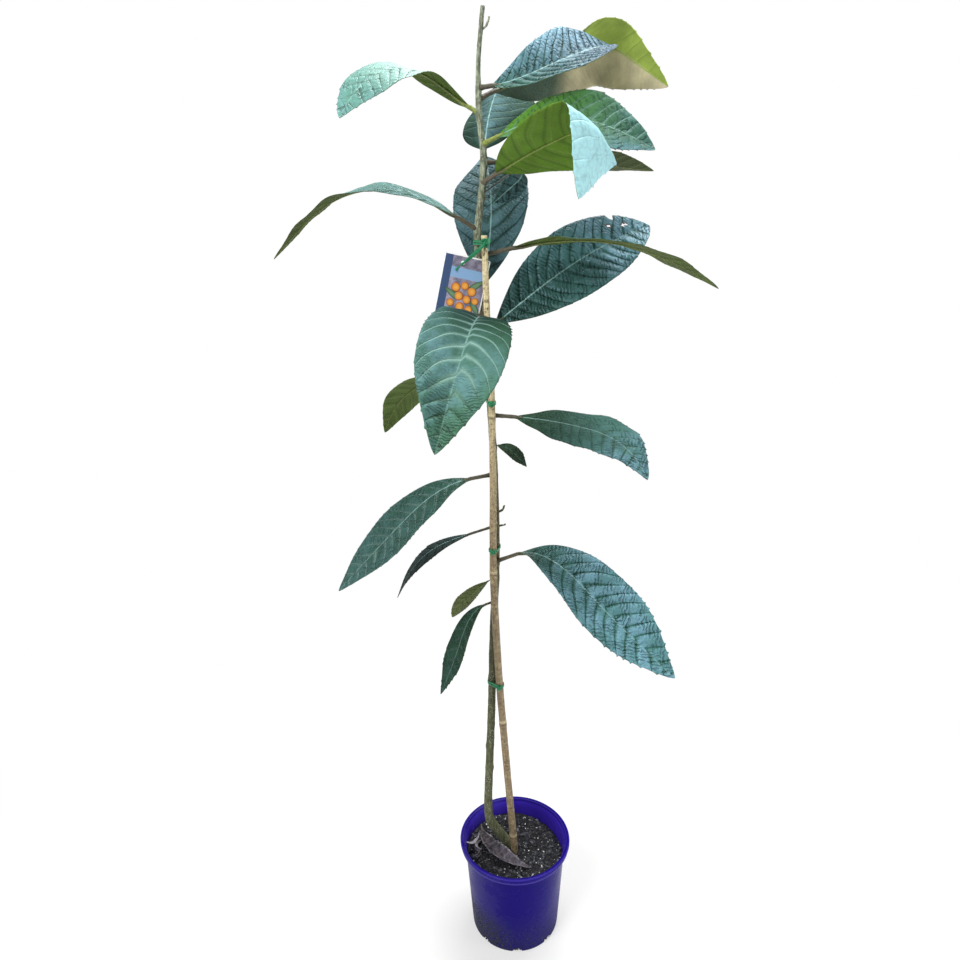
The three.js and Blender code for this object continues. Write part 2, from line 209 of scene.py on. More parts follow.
def addNode(tree, kind, settings=None, inputs=None):
    # one node with its settings and links
    made = tree.nodes.new("ShaderNode" + kind)
    for key, value in (settings or {}).items():
        setattr(made, key, value)
    setInputs(tree, made, inputs or {})
    return made


def calc(tree, operation, *values):
    # a Math node's result; each value is a number or another node's output
    return addNode(tree, "Math", {"operation": operation}, dict(enumerate(values))).outputs[0]


def ramp(tree, value, low=0.0, high=1.0, start=0.0, end=1.0, smooth=False):
    # takes low..high to start..end and holds beyond them, straight or as a smooth step
    kind = "SMOOTHSTEP" if smooth else "LINEAR"
    return addNode(tree, "MapRange", {"interpolation_type": kind},
                   {0: value, 1: low, 2: high, 3: start, 4: end}).outputs[0]


def mixed(tree, share, first, second, blend="MIX"):
    # two colours mixed by a share of the second
    return addNode(tree, "Mix", {"data_type": "RGBA", "blend_type": blend},
                   {0: share, 6: first, 7: second}).outputs[2]


def noise(tree, place, scale, detail, roughness=0.5):
    return addNode(tree, "TexNoise",
                   inputs={"Vector": place, "Scale": scale, "Detail": detail,
                           "Roughness": roughness}).outputs[0]


def scaled(tree, vector, amount):
    return addNode(tree, "VectorMath", {"operation": "SCALE"}, {0: vector, 3: amount}).outputs[0]


def numberAt(tree, mark):
    return addNode(tree, "Attribute", {"attribute_name": mark}).outputs["Fac"]


def colourAt(tree, mark):
    return addNode(tree, "Attribute", {"attribute_name": mark}).outputs["Color"]


def addBump(tree, skin, height, strength, distance):
    made = addNode(tree, "Bump", inputs={"Strength": strength, "Distance": distance, "Height": height})
    tree.links.new(made.outputs[0], skin.inputs["Normal"])


def veinPlace(tree, phase):
    # where a place lies between two side veins, 0 to 1; the same from -0.5 to 0.5; and without its sign
    part = calc(tree, "FRACT", phase)
    off = calc(tree, "SUBTRACT", part, 0.5)
    return part, off, calc(tree, "ABSOLUTE", off)


def newMaterial(name):
    made = bpy.data.materials.new(name)
    made.use_nodes = True
    return made, made.node_tree, made.node_tree.nodes["Principled BSDF"]


# ---- camera: at standing height, looking down on the tree ----
view = {"eye": (0, -1082, 1267), "down": 19.5, "left": 2.66, "roll": 1.2, "lens": 28.125, "sensor": 36}

eye = bpy.data.cameras.new("camera")
eye.lens = view["lens"]
eye.sensor_width = view["sensor"]
eye.clip_start = 0.02
camera = addObject("camera", eye)
camera.matrix_world = (Matrix.Translation([v * mm for v in view["eye"]])
                       @ Matrix.Rotation(math.radians(view["left"]), 4, "Z")
                       @ Matrix.Rotation(math.radians(90 - view["down"]), 4, "X")
                       @ Matrix.Rotation(math.radians(-view["roll"]), 4, "Z"))
bpy.context.scene.camera = camera
bpy.context.scene.view_settings.view_transform = "Standard"
print("camera placed")


# ---- leaves ----
# Height of the seat on the trunk; heading (0 right, 90 back) and rise of the midrib there; the
# blade turns down by bend around bendAt, twists, and curves sideways by sweep; cup lifts both
# halves. ribs is how many side veins each half has, relief how far the panels between them
# stand up, near the base and near the tip if it is a pair. upper and under are the two faces'
# colours at the base and at the tip; halves parts the under face's two colours at the midrib
# instead, one half lime as painted light shining through the leaf and the other beige as the felt in
# shade, and shaded is painted shade near the stalk. paintedSheen is a bluish painted sheen standing for
# sky light reflected off the upper face, at the base, in the middle and at the tip, and how much it grows
# towards the right margin, seen from the stalk. curls are further twists, as (where, over what share of
# the length, degrees). What a leaf leaves out is in leafBody.
leaves = {
    "leaf_crown": dict(
        height=1408, heading=35, rise=24, roll=18, petiole=22, blade=310, width=109, bend=90, bendAt=0.62,
        bendSpan=0.35, twist=50, sweep=2, cup=-18, ribs=15, relief=0.9, upper=("#3d6a52", "#4a7b58"),
        # under: the lime half is painted light shining through the leaf and the beige half the felt in shade;
        # shaded is painted shade near the stalk
        under=("#cdc3a0", "#a2b953"), shaded="#40564a", halves=1, bands=0.06, ribTint="#a3b862", ribSize=0.45,
        paintedSheen=(0.2, 0.25, 0.3, 0), wrinkle=0.4),
    "leaf_top_right": dict(
        height=1421, heading=-20, rise=4, roll=-50, petiole=18, blade=190, width=99, bend=42, bendAt=0.63,
        bendSpan=0.89, twist=7, sweep=-75, cup=18, ribs=15, relief=2.5, pale=0.1, upper=("#2f5c4c", "#38566a"),
        paintedSheen=(0.25, 0.5, 0.45, -0.75), veins=0.75, matt=0.12, pitch=4.5),
    # its nearly white upper colour at the base is a painted highlight of sky light on the glossy face
    "leaf_top_left": dict(
        height=1391, heading=162, rise=33, roll=-34, petiole=13, blade=219, width=84, bend=80, bendAt=0.48,
        bendSpan=0.76, twist=34, sweep=-80, curls=[(0.4, 0.2, 15)], cup=-4, ribs=12, relief=1.6,
        upper=("#d8f2e6", "#669a86"), under=("#486410", "#486410"), stalkTint="#7f8b3c",
        paintedSheen=(0.1, 0.25, 0.35, 0), pale=0.2, wrinkle=0.45, veins=0.8, pitch=5.0),
    # its dark upper colour and the margin's lower sheen are painted shade: the leaf lies in shade behind the
    # others
    "leaf_back_upper": dict(
        height=1338, heading=86, rise=44, roll=14, petiole=15, blade=188, width=123, bend=15, bendAt=0.49,
        bendSpan=0.92, twist=0, sweep=8, cup=-29, ribs=10, relief=1.2, tooth=1.0, wrinkle=0.3,
        upper=("#21402f", "#26402f"), under=("#46562a", "#46562a"), paintedSheen=(0.2, 0.1, 0.05, 0), matt=0.5,
        pale=0.2, veins=0.4, rimPaintedSheen=-0.8),
    "leaf_shoulder": dict(
        height=1354, heading=-38, rise=17, roll=-46, petiole=25, blade=220, width=90, bend=61, bendAt=0.48,
        bendSpan=1, twist=-1, sweep=3, cup=7, ribs=13, relief=1.8, upper=("#568a1e", "#386246"),
        stalkTint="#8f9a4a", pale=0.3, rimPaintedSheen=0.5, under=("#46562a", "#46562a"), paintedSheen=(0.0, 0.0, 0.3, 0.2),
        matt=0.35, wrinkle=0.7, veins=0.45, pitch=5.5),
    "leaf_behind": dict(
        height=1332, heading=14, rise=1, roll=8, petiole=22, blade=220, width=82, bend=8, bendAt=0.44,
        bendSpan=0.9, twist=6, sweep=0, cup=10, ribs=12, relief=1.0, upper=("#3d6a52", "#3d6a52"),
        under=("#3d4b27", "#3d4b27")),
    "leaf_small_upper": dict(
        height=1292, heading=-2, rise=33, roll=50, petiole=48, blade=77, width=35, bend=180, bendAt=0.22,
        bendSpan=0.6, twist=0, sweep=-2, cup=11, ribs=7, relief=0.7, upper=("#2f4d42", "#2f4d42"),
        under=("#3f4d2c", "#3f4d2c")),
    "leaf_folded": dict(
        height=1306, heading=-54, rise=18, roll=19, petiole=32, blade=270, width=114, bend=100, bendAt=0.675,
        bendSpan=0.17, twist=17, sweep=-24, cup=-9, ribs=12, relief=1.0, upper=("#63907c", "#c0f8ff"),
        under=("#5e8422", "#658c28"), stalkTint="#655c4e", bands=0.45, pale=0.6, wrinkle=0.15,
        ribTint="#93a653", ribSize=0.5, paintedSheen=(0.4, 0.1, 0.0, 0), veins=0.1),
    "leaf_left_long": dict(
        height=1247, heading=192, rise=31, roll=19, petiole=30, blade=290, width=82, bend=77, bendAt=0.46,
        bendSpan=0.9, twist=-14, sweep=-6, curls=[(0.5, 0.3, -10)], cup=3, ribs=15, relief=1.8,
        upper=("#4c7a66", "#7ba396"), under=("#2f4210", "#354808"), paintedSheen=(0.4, 0.4, 0.4, 0), pale=0.1,
        wrinkle=0.1, veins=0.35),
    "leaf_right_long": dict(
        height=1212, heading=-24, rise=12, roll=12, petiole=50, blade=292, width=86, bend=40, bendAt=0.49,
        bendSpan=1.08, twist=11, tooth=3.6, sweep=-33, cup=1, ribs=15, relief=1.4, upper=("#3f6355", "#4a7066"),
        under=("#465c1c", "#445816"), paintedSheen=(0.5, 0.5, 0.5, 0), curls=[(0.25, 0.3, -12), (0.7, 0.3, 5)]),
    "leaf_back_lower": dict(
        height=1154, heading=65, rise=64, roll=-6, petiole=20, blade=236, width=112, bend=23, bendAt=0.43,
        bendSpan=0.91, twist=-11, sweep=-28, cup=7, ribs=11, relief=0.9, wrinkle=0.6, matt=0.12, tooth=1.0,
        upper=("#2b4c44", "#32544a"), under=("#46562a", "#46562a"), paintedSheen=(0.4, 0.4, 0.4, 0), veins=0.4),
    "leaf_front": dict(
        height=1134, heading=-93, rise=2, roll=14, petiole=29, blade=313, width=112, bend=64, bendAt=0.57,
        bendSpan=0.88, twist=2, sweep=-2, cup=18, ribs=13, relief=(1.4, 4.2), pale=(0.65, 0.1),
        arc=(0.34, 0.015), upper=("#12382a", "#3b6939"), wrinkle=(0.15, 0.8), paintedSheen=(0.05, 0.6, 0.2, 0.12),
        paintedSheenAt=(0.5, 0.86), veins=(0.25, 0.8), matt=(0.4, 0.05), slant=0.8, pitch=3.0),
    "leaf_right_broad": dict(
        height=1106, heading=6, rise=38, roll=-61, petiole=20, blade=267, width=112, bend=30, bendAt=0.65,
        bendSpan=0.87, twist=10, sweep=6, cup=6, ribs=15, relief=2.0, upper=("#204034", "#3f7068"),
        paintedSheen=(0, 0.2, 2.0, -0.1), tooth=2.0, tipShape=0, veins=(0.5, 0.35), slant=0.6),
    "leaf_left_olive": dict(
        height=1061, heading=169, rise=-17, roll=-15, petiole=26, blade=176, width=76, bend=73, bendAt=0.69,
        bendSpan=0.83, twist=-32, sweep=2, cup=-3, ribs=10, relief=1.3, upper=("#3d6a52", "#3d6a52"),
        under=("#4c612b", "#556b32"), wrinkle=0.5),
    "leaf_right_middle": dict(
        height=985, heading=-21, rise=1, roll=-20, petiole=36, blade=237, width=96, bend=66, bendAt=0.86,
        bendSpan=0.8, twist=17, sweep=35, cup=-2, ribs=13, relief=1.9, pale=0.1, wrinkle=(0.5, 1.6),
        upper=("#1f4524", "#3c6f5c"), paintedSheen=(0.0, 0.15, 0.9, 0), veins=(0.35, 0.6), matt=(0.3, 0.05)),
    "leaf_small_right": dict(
        height=938, heading=-52, rise=12, roll=-20, petiole=11, blade=64, width=22, bend=59, bendAt=0.39,
        bendSpan=0.88, twist=-5, sweep=1, cup=10, ribs=7, relief=0.6, upper=("#2b4023", "#283a22"),
        under=("#3c4a28", "#3c4a28"), paintedSheen=(0.0, 0.0, 0.0, 0), matt=0.3, midrib=0.1, veins=0.3),
    "leaf_left_middle": dict(
        height=892, heading=210, rise=0, roll=12, petiole=39, blade=262, width=86, bend=57, bendAt=0.11,
        bendSpan=0.77, twist=-5, sweep=-7, cup=3, ribs=15, relief=2.6, tooth=2.2, upper=("#274a30", "#2b4c38"),
        pale=0.3, paintedSheen=(0.15, 0.2, 0.2, 0), veins=0.9, wrinkle=0.6, slant=0.3, pitch=5.5),
    "leaf_left_narrow": dict(
        height=806, heading=194, rise=-13, roll=5, petiole=42, blade=163, width=46, bend=51, bendAt=0.49,
        bendSpan=0.9, twist=-13, sweep=1, cup=-1, ribs=10, relief=0.9, upper=("#35423a", "#2f3a34"),
        under=("#39432f", "#39432f"), paintedSheen=(0.1, 0.1, 0.0, 0), wrinkle=0.0, matt=0.45),
    "leaf_right_low": dict(
        height=744, heading=-49, rise=31, roll=3, petiole=59, blade=312, width=109, bend=83, bendAt=0.16,
        bendSpan=0.76, twist=-24, sweep=-15, cup=15, ribs=15, relief=2.6, tooth=4.2,
        upper=("#244f3c", "#40786c"), paintedSheen=(0.05, 1.0, 1.3, -0.15), veins=0.5, wrinkle=1.2, slant=0.5,
        pitch=3.6),
    "leaf_small_left": dict(
        height=718, heading=172, rise=-40, roll=-45, petiole=16, blade=88, width=38, bend=20, bendAt=0.4,
        bendSpan=0.91, twist=-9, sweep=-3, cup=10, ribs=8, relief=0.7, upper=("#35523a", "#35523a"),
        under=("#5b683c", "#636e46"), paintedSheen=(0.2, 0.2, 0.2, 0), tipShape=0, wrinkle=0.4),
    "leaf_left_low": dict(
        height=672, heading=231, rise=9, roll=-10, petiole=22, blade=166, width=42, bend=78, bendAt=0.16,
        bendSpan=0.66, twist=1, sweep=15, cup=12, ribs=11, relief=1.0, pale=0.1, wrinkle=0.6,
        upper=("#1f3a22", "#23402a"), paintedSheen=(0.0, 0.0, 0.05, 0), veins=0.5, matt=0.2, midrib=0.35),
}
# veins to bands: how dark the painted shade in the grooves over the side veins is, how pale the painted
# highlight along them, how strong the creases between them (bumped, and darkened with painted shade), how far
# these turn across the leaf, and their pitch in mm; how much rougher than usual the upper face is, how clear
# the midrib's line, and the painted shadow bands beside the veins on the under face; a pair is the value near
# the base and the value near the tip
leafMarks = {"veins": 0.6, "pale": 0.0, "wrinkle": 1.0, "slant": 0.4, "pitch": 3.8, "matt": 0.0, "midrib": 1.0,
             "bands": 0.4}
# peak is where along the blade it is widest, tipShape how much the last third is drawn in, arc how
# far the side veins bend forward (by the distance from the midrib, and by its square), lean where a
# panel's crest lies between two veins (1 is half-way), and rimPaintedSheen how much more painted sheen the
# margin has than the middle; stalk and ribEnd are radii, and ribSize is the rib's share of the stalk
leafBody = {"thickness": 0.55, "peak": 0.56, "rows": 260, "halfColumns": 15, "toothPitch": 12.5, "tooth": 3.0,
            "tipShape": 0.32, "arc": (0.42, 0.0065), "lean": 0.62, "waves": 2.2, "crumple": 0, "curls": (),
            "stalk": 2.7, "ribSize": 0.6, "ribEnd": 0.25, "stalkTint": "#504b3b", "ribTint": "#78844c",
            "under": ("#4a5a35", "#4a5a35"), "paintedSheen": (0.3, 0.3, 0.3, 0), "rimPaintedSheen": 0, "paintedSheenAt": (0.29, 0.71),
            **leafMarks}

trunkKnots = [(-7, 11, 75), (-8, 10, 150), (-27, 7, 189), (-44.5, 3, 222), (-47.5, 1, 258), (-44, 1, 350),
              (-38.5, 2, 470), (-34, 4.5, 612), (-27.5, 4.5, 740), (-28, 2.5, 880), (-33, 2, 1009),
              (-43.5, 2, 1153), (-46.5, 2, 1238), (-36.5, 1, 1332), (-41.5, 1, 1392), (-41, 0, 1453),
              (-34.5, 0, 1513)]
stakeKnots = [(8, -3, 40), (0, -5, 156), (-17, -6.5, 405), (-26, -7.5, 558), (-31.5, -9, 728),
              (-30, -10.5, 884), (-30.5, -11.5, 1011), (-35, -13, 1141), (-37, -14, 1240)]
trunkPath = throughPoints(trunkKnots, 40)
stakePath = throughPoints(stakeKnots, 40)


def pathAt(path, height):
    # the point of a climbing path at a height
    return np.array([*(np.interp(height, path[:, 2], path[:, k]) for k in (0, 1)), height])


def turned(vector, axis, angle):
    # a vector turned about a unit axis: v cos a + (k x v) sin a + k (k.v)(1 - cos a)
    return (vector * math.cos(angle) + np.cross(axis, vector) * math.sin(angle)
            + axis * (axis @ vector) * (1 - math.cos(angle)))


def leafStations(leaf, seat, rows):
    # carries the frame (along, across, up) from the seat through the petiole and down the blade,
    # turning it a little at each station by the bend, the sweep and the twist
    heading, rise = math.radians(leaf["heading"]), math.radians(leaf["rise"])
    along = np.array([math.cos(rise) * math.cos(heading), math.cos(rise) * math.sin(heading), math.sin(rise)])
    across = np.array([math.sin(heading), -math.cos(heading), 0.0])
    up = np.cross(across, along)
    roll = -math.radians(leaf["roll"])
    across, up = turned(across, along, roll), turned(up, along, roll)
    stalk = (seat, along, across, up)
    point = seat + along * leaf["petiole"]
    share = np.linspace(0, 1, rows + 1)
    bends = np.diff(smoothStep((share - leaf["bendAt"]) / leaf["bendSpan"] + 0.5, 0, 1))
    bends = bends * math.radians(leaf["bend"])
    twists = np.full(rows, leaf["twist"] / rows)
    for at, span, degrees in leaf["curls"]:
        twists = twists + np.diff(smoothStep((share - at) / span + 0.5, 0, 1)) * degrees
    sweep, twists = math.radians(leaf["sweep"]) / rows, np.radians(twists)
    kept = [(point, across, up)]
    for bend, twist in zip(bends, twists):
        along, up = turned(along, across, -bend), turned(up, across, -bend)
        along, across = turned(along, up, -sweep), turned(across, up, -sweep)
        across, up = turned(across, along, -twist), turned(up, along, -twist)
        point = point + along * leaf["blade"] / rows
        kept.append((point, across, up))
    return stalk, [np.array(column) for column in zip(*kept)]


def veinPhase(leaf, t, v, far, seed):
    # which side vein a place lies on, as a running number: veins leave the midrib at about 60
    # degrees, arc towards the tip, and the two halves' veins alternate
    slope, hook = leaf["arc"]
    arc = slope * far + hook * far ** 2
    wander = (0.16 * np.sin(2 * math.pi * (2.1 * t + 0.37 * seed))
              + 0.08 * np.sin(2 * math.pi * (5.3 * t + 0.61 * seed)))
    return leaf["ribs"] * (t - arc / leaf["blade"]) + 0.45 * smoothStep(-v, 0, 0.06) + wander + 40


def bladePoints(leaf, stations, seed, notches=()):
    # a sheet over (t, v): centre(t) + v w(t) across, both halves lifted by the cup, with puffed
    # panels between the side veins, a waved and saw-toothed margin, and a crease at the midrib
    centre, across, up = stations
    rows = len(centre)
    half = leaf["halfColumns"] if leaf["width"] > 50 else leaf["halfColumns"] // 2
    t = np.linspace(0, 1, rows)[:, None]
    v = np.linspace(-1, 1, 2 * half + 1)[None, :]
    v = np.sign(v) * np.abs(v) ** 0.9
    peak = leaf["peak"]
    width = leaf["width"] / 2 * (t / peak) * ((1 - t) / (1 - peak)) ** ((1 - peak) / peak)
    width = width * (1 - leaf["tipShape"] * smoothStep(t, 0.68, 1.0))
    width = np.maximum(width, 1.9 * (1 - t) + 0.4)
    pitch = leaf["toothPitch"]
    teeth = t * leaf["blade"] / pitch + 0.31 * seed
    teeth = teeth + 0.35 * (v > 0) + 0.5 * np.sin(t * 23 + seed + 2 * v)
    uneven = 0.65 + 0.35 * np.sin(np.floor(teeth) * 12.9 + seed)
    tooth = (teeth % 1.0) ** 5 * uneven - 0.12
    tooth = leaf["tooth"] * tooth * smoothStep(t, 0.2, 0.45) * smoothStep(-t, -0.99, -0.92)
    reach = width * (1 + 0 * v)
    for at, side, depth, span in notches:
        reach = reach - depth * np.exp(-((t - at) / span) ** 4) * (np.sign(v) == side)
    reach = np.maximum(reach, 0.4)
    spread = v * reach + np.sign(v) * tooth * np.abs(v) ** 9
    far = np.abs(v) * reach
    phase = veinPhase(leaf, t, v, far, seed)
    part = phase % 1.0
    panel = np.sin(math.pi * part ** leaf["lean"]) ** 0.8 - 0.5
    edge = np.abs(v)
    fade = (smoothStep(edge, 0.02, 0.2) * smoothStep(-edge, -1, -0.8)
            * smoothStep(t, 0.0, 0.1) * smoothStep(-t, -1, -0.88))
    low, high = np.broadcast_to(leaf["relief"], 2)
    lift = (low + (high - low) * smoothStep(t, 0.62, 0.86)) * panel * fade * np.minimum(reach / 30, 1)
    places = np.stack(np.broadcast_arrays(t * leaf["blade"], spread), -1)
    wave = leaf["waves"] * edge ** 2 * ripple(places, 70, 100 + seed) * np.minimum(reach / 30, 1)
    crumple = leaf["crumple"] * ripple(places, 22, 300 + seed, 9) * np.minimum(reach / 12, 1)
    cup = math.radians(leaf["cup"])
    crease = np.sqrt(edge ** 2 + 0.004) - 0.063
    points = (centre[:, None] + (spread * math.cos(cup))[..., None] * across[:, None]
              + (crease * reach * math.sin(cup) + lift + wave + crumple)[..., None] * up[:, None])
    return points, t, v, far, phase


def makeLeaf(name, leaf, seat, seed, looks, start, notches=(), holes=(), replaces=()):
    # the blade with its thickness, and the petiole that runs on as a tapering midrib below it
    leaf = {**leafBody, **leaf}
    rows = leaf["rows"] if leaf["blade"] > 100 else leaf["rows"] // 2
    stalk, stations = leafStations(leaf, seat, rows)
    points, t, v, far, phase = bladePoints(leaf, stations, seed, notches)
    columns = points.shape[1]
    faces = gridFaces(points.shape[0], columns)[:, ::-1]
    scar = 0 * phase
    if holes:
        for atT, atV, size in holes:
            away = np.hypot(t * leaf["blade"] + 0 * v - atT * leaf["blade"],
                            v * leaf["width"] / 2 + 0 * t - atV)
            scar = np.maximum(scar, smoothStep(-away, -1.7 * size, -1.15 * size))
        midT = (t[:-1] + t[1:]) / 2 * leaf["blade"] + 0 * far[:-1, :-1]
        spread = v * leaf["width"] / 2 + 0 * far
        midV = (spread[:-1, :-1] + spread[1:, 1:]) / 2
        keep = np.ones(midT.shape, bool)
        for atT, atV, size in holes:
            away = np.hypot(midT - atT * leaf["blade"], midV - atV)
            keep &= away + 0.3 * size * np.sin(midT * 1.7 + midV) > size
        faces = faces[keep.ravel()]
    shades = []
    # where halves is set, the under face's two colours are painted light through the leaf on one half and the
    # felt in shade on the other
    for codes, ease in ((leaf["upper"], smoothStep(t + 0 * v, 0.1, 0.85)),
                        (leaf["under"], smoothStep(t + 0 * v, 0.1, 0.85) if "halves" not in leaf
                         else smoothStep(v * leaf["halves"] + 0 * t, -0.03, 0.03) * smoothStep(t, 0.25, 0.5))):
        base, tip = [np.array(colour(code)) for code in codes]
        ease = ease[..., None]
        shades.append((base * (1 - ease) + tip * ease).reshape(-1, 4))
    # painted shade: near the stalk the under face takes the shaded colour
    if "shaded" in leaf:
        share = smoothStep(t + 0 * v, 0.36, 0.52).reshape(-1, 1)
        shades[1] = np.array(colour(leaf["shaded"])) * (1 - share) + shades[1] * share
    # painted sheen: how much bluish sky light is painted on the upper face, by the place along and across the
    # blade
    base, middle, tip, side = leaf["paintedSheen"]
    first, second = leaf["paintedSheenAt"]
    film = (base + (middle - base) * smoothStep(t, first - 0.21, first + 0.21)
            + (tip - middle) * smoothStep(t, second - 0.21, second + 0.21))
    film = film + side * v + leaf["rimPaintedSheen"] * (np.abs(v) - 0.5)
    # across is -1 to 1 from margin to margin; reach and run are in centimetres
    marks = {"phase": phase.ravel(), "across": (v + 0 * t).ravel(),
             "reach": (far * np.sign(v + 0 * t)).ravel() / 10, "run": (t * leaf["blade"] / 10 + 0 * v).ravel(),
             "film": np.clip(film, 0, 1).ravel(), "tint": shades[0], "underTint": shades[1],
             "scar": scar.ravel()}
    for mark in leafMarks:
        low, high = np.broadcast_to(leaf[mark], 2)
        marks[mark] = (low + (high - low) * smoothStep(t, 0.62, 0.86) + 0 * v).ravel()
    blade = addPiece(name + "_blade", points.reshape(-1, 3), faces, looks[:2], replaces, marks=marks)
    thicken(blade, leaf["thickness"])

    centre, across, up = stations
    steps = 8
    foot, way, side, high = stalk
    stem = foot + way * np.linspace(start, leaf["petiole"], steps)[:-1, None]
    stop = int(rows * 0.97)
    thick = leaf["stalk"] * (0.5 if leaf["blade"] < 100 else 1) * min(1, leaf["width"] / 70)
    gone = np.arange(stop) / rows
    slim = 1 - (1 - leaf["ribSize"]) * smoothStep(gone, 0, 0.14)
    taper = thick * slim * (1 - gone) ** 1.15 + leaf["ribEnd"]
    drop = 0.92 * taper * smoothStep(gone, 0, 0.08)
    rib = centre[:stop] - up[:stop] * drop[:, None]
    path = np.vstack([stem, rib])
    acrossAll = np.vstack([np.tile(side, (steps - 1, 1)), across[:stop]])
    upAll = np.vstack([np.tile(high, (steps - 1, 1)), up[:stop]])
    sheath = 1 + 0.5 * np.exp(-np.arange(steps - 1) / 1.6)
    radii = np.concatenate([thick * 1.08 * sheath, taper])
    bumps = 1 + 0.07 * ripple(path, 6, 500 + seed)[:, None]
    ribPoints, ribFaces = tube(path, acrossAll, upAll, radii[:, None] * bumps, 10)
    down = np.repeat(np.concatenate([np.zeros(steps - 1), gone]), 10)
    down = np.concatenate([down, [0, 1]])
    ease = smoothStep(down, 0.01, 0.16)[:, None]
    woody, green = [np.array(colour(leaf[key])) for key in ("stalkTint", "ribTint")]
    tint = woody * (1 - ease) + green * ease
    addPiece(name + "_rib", ribPoints, ribFaces, looks[2:], (), marks={"tint": tint})


# Loquat leaf, upper face: a tough leathery cuticle, puckered between sunken veins. The eye gets a
# soft broad gloss; a bluish painted sheen stands for sky light reflected off the face, painted shade
# darkens the grooves and creases, and painted highlight lightens the side veins.
# the sheen colour is painted sky light; dark is painted shade for the grooves and creases; veinPale is the
# midrib's own pale line and the painted highlight along the side veins
upperLook = {"paintedSheenColour": "#7aa5b8", "dark": "#3d5f48", "veinPale": "#a5cfc8", "cell": 5.5,
             "scar": "#6d4a3c", "roughness": 0.36}


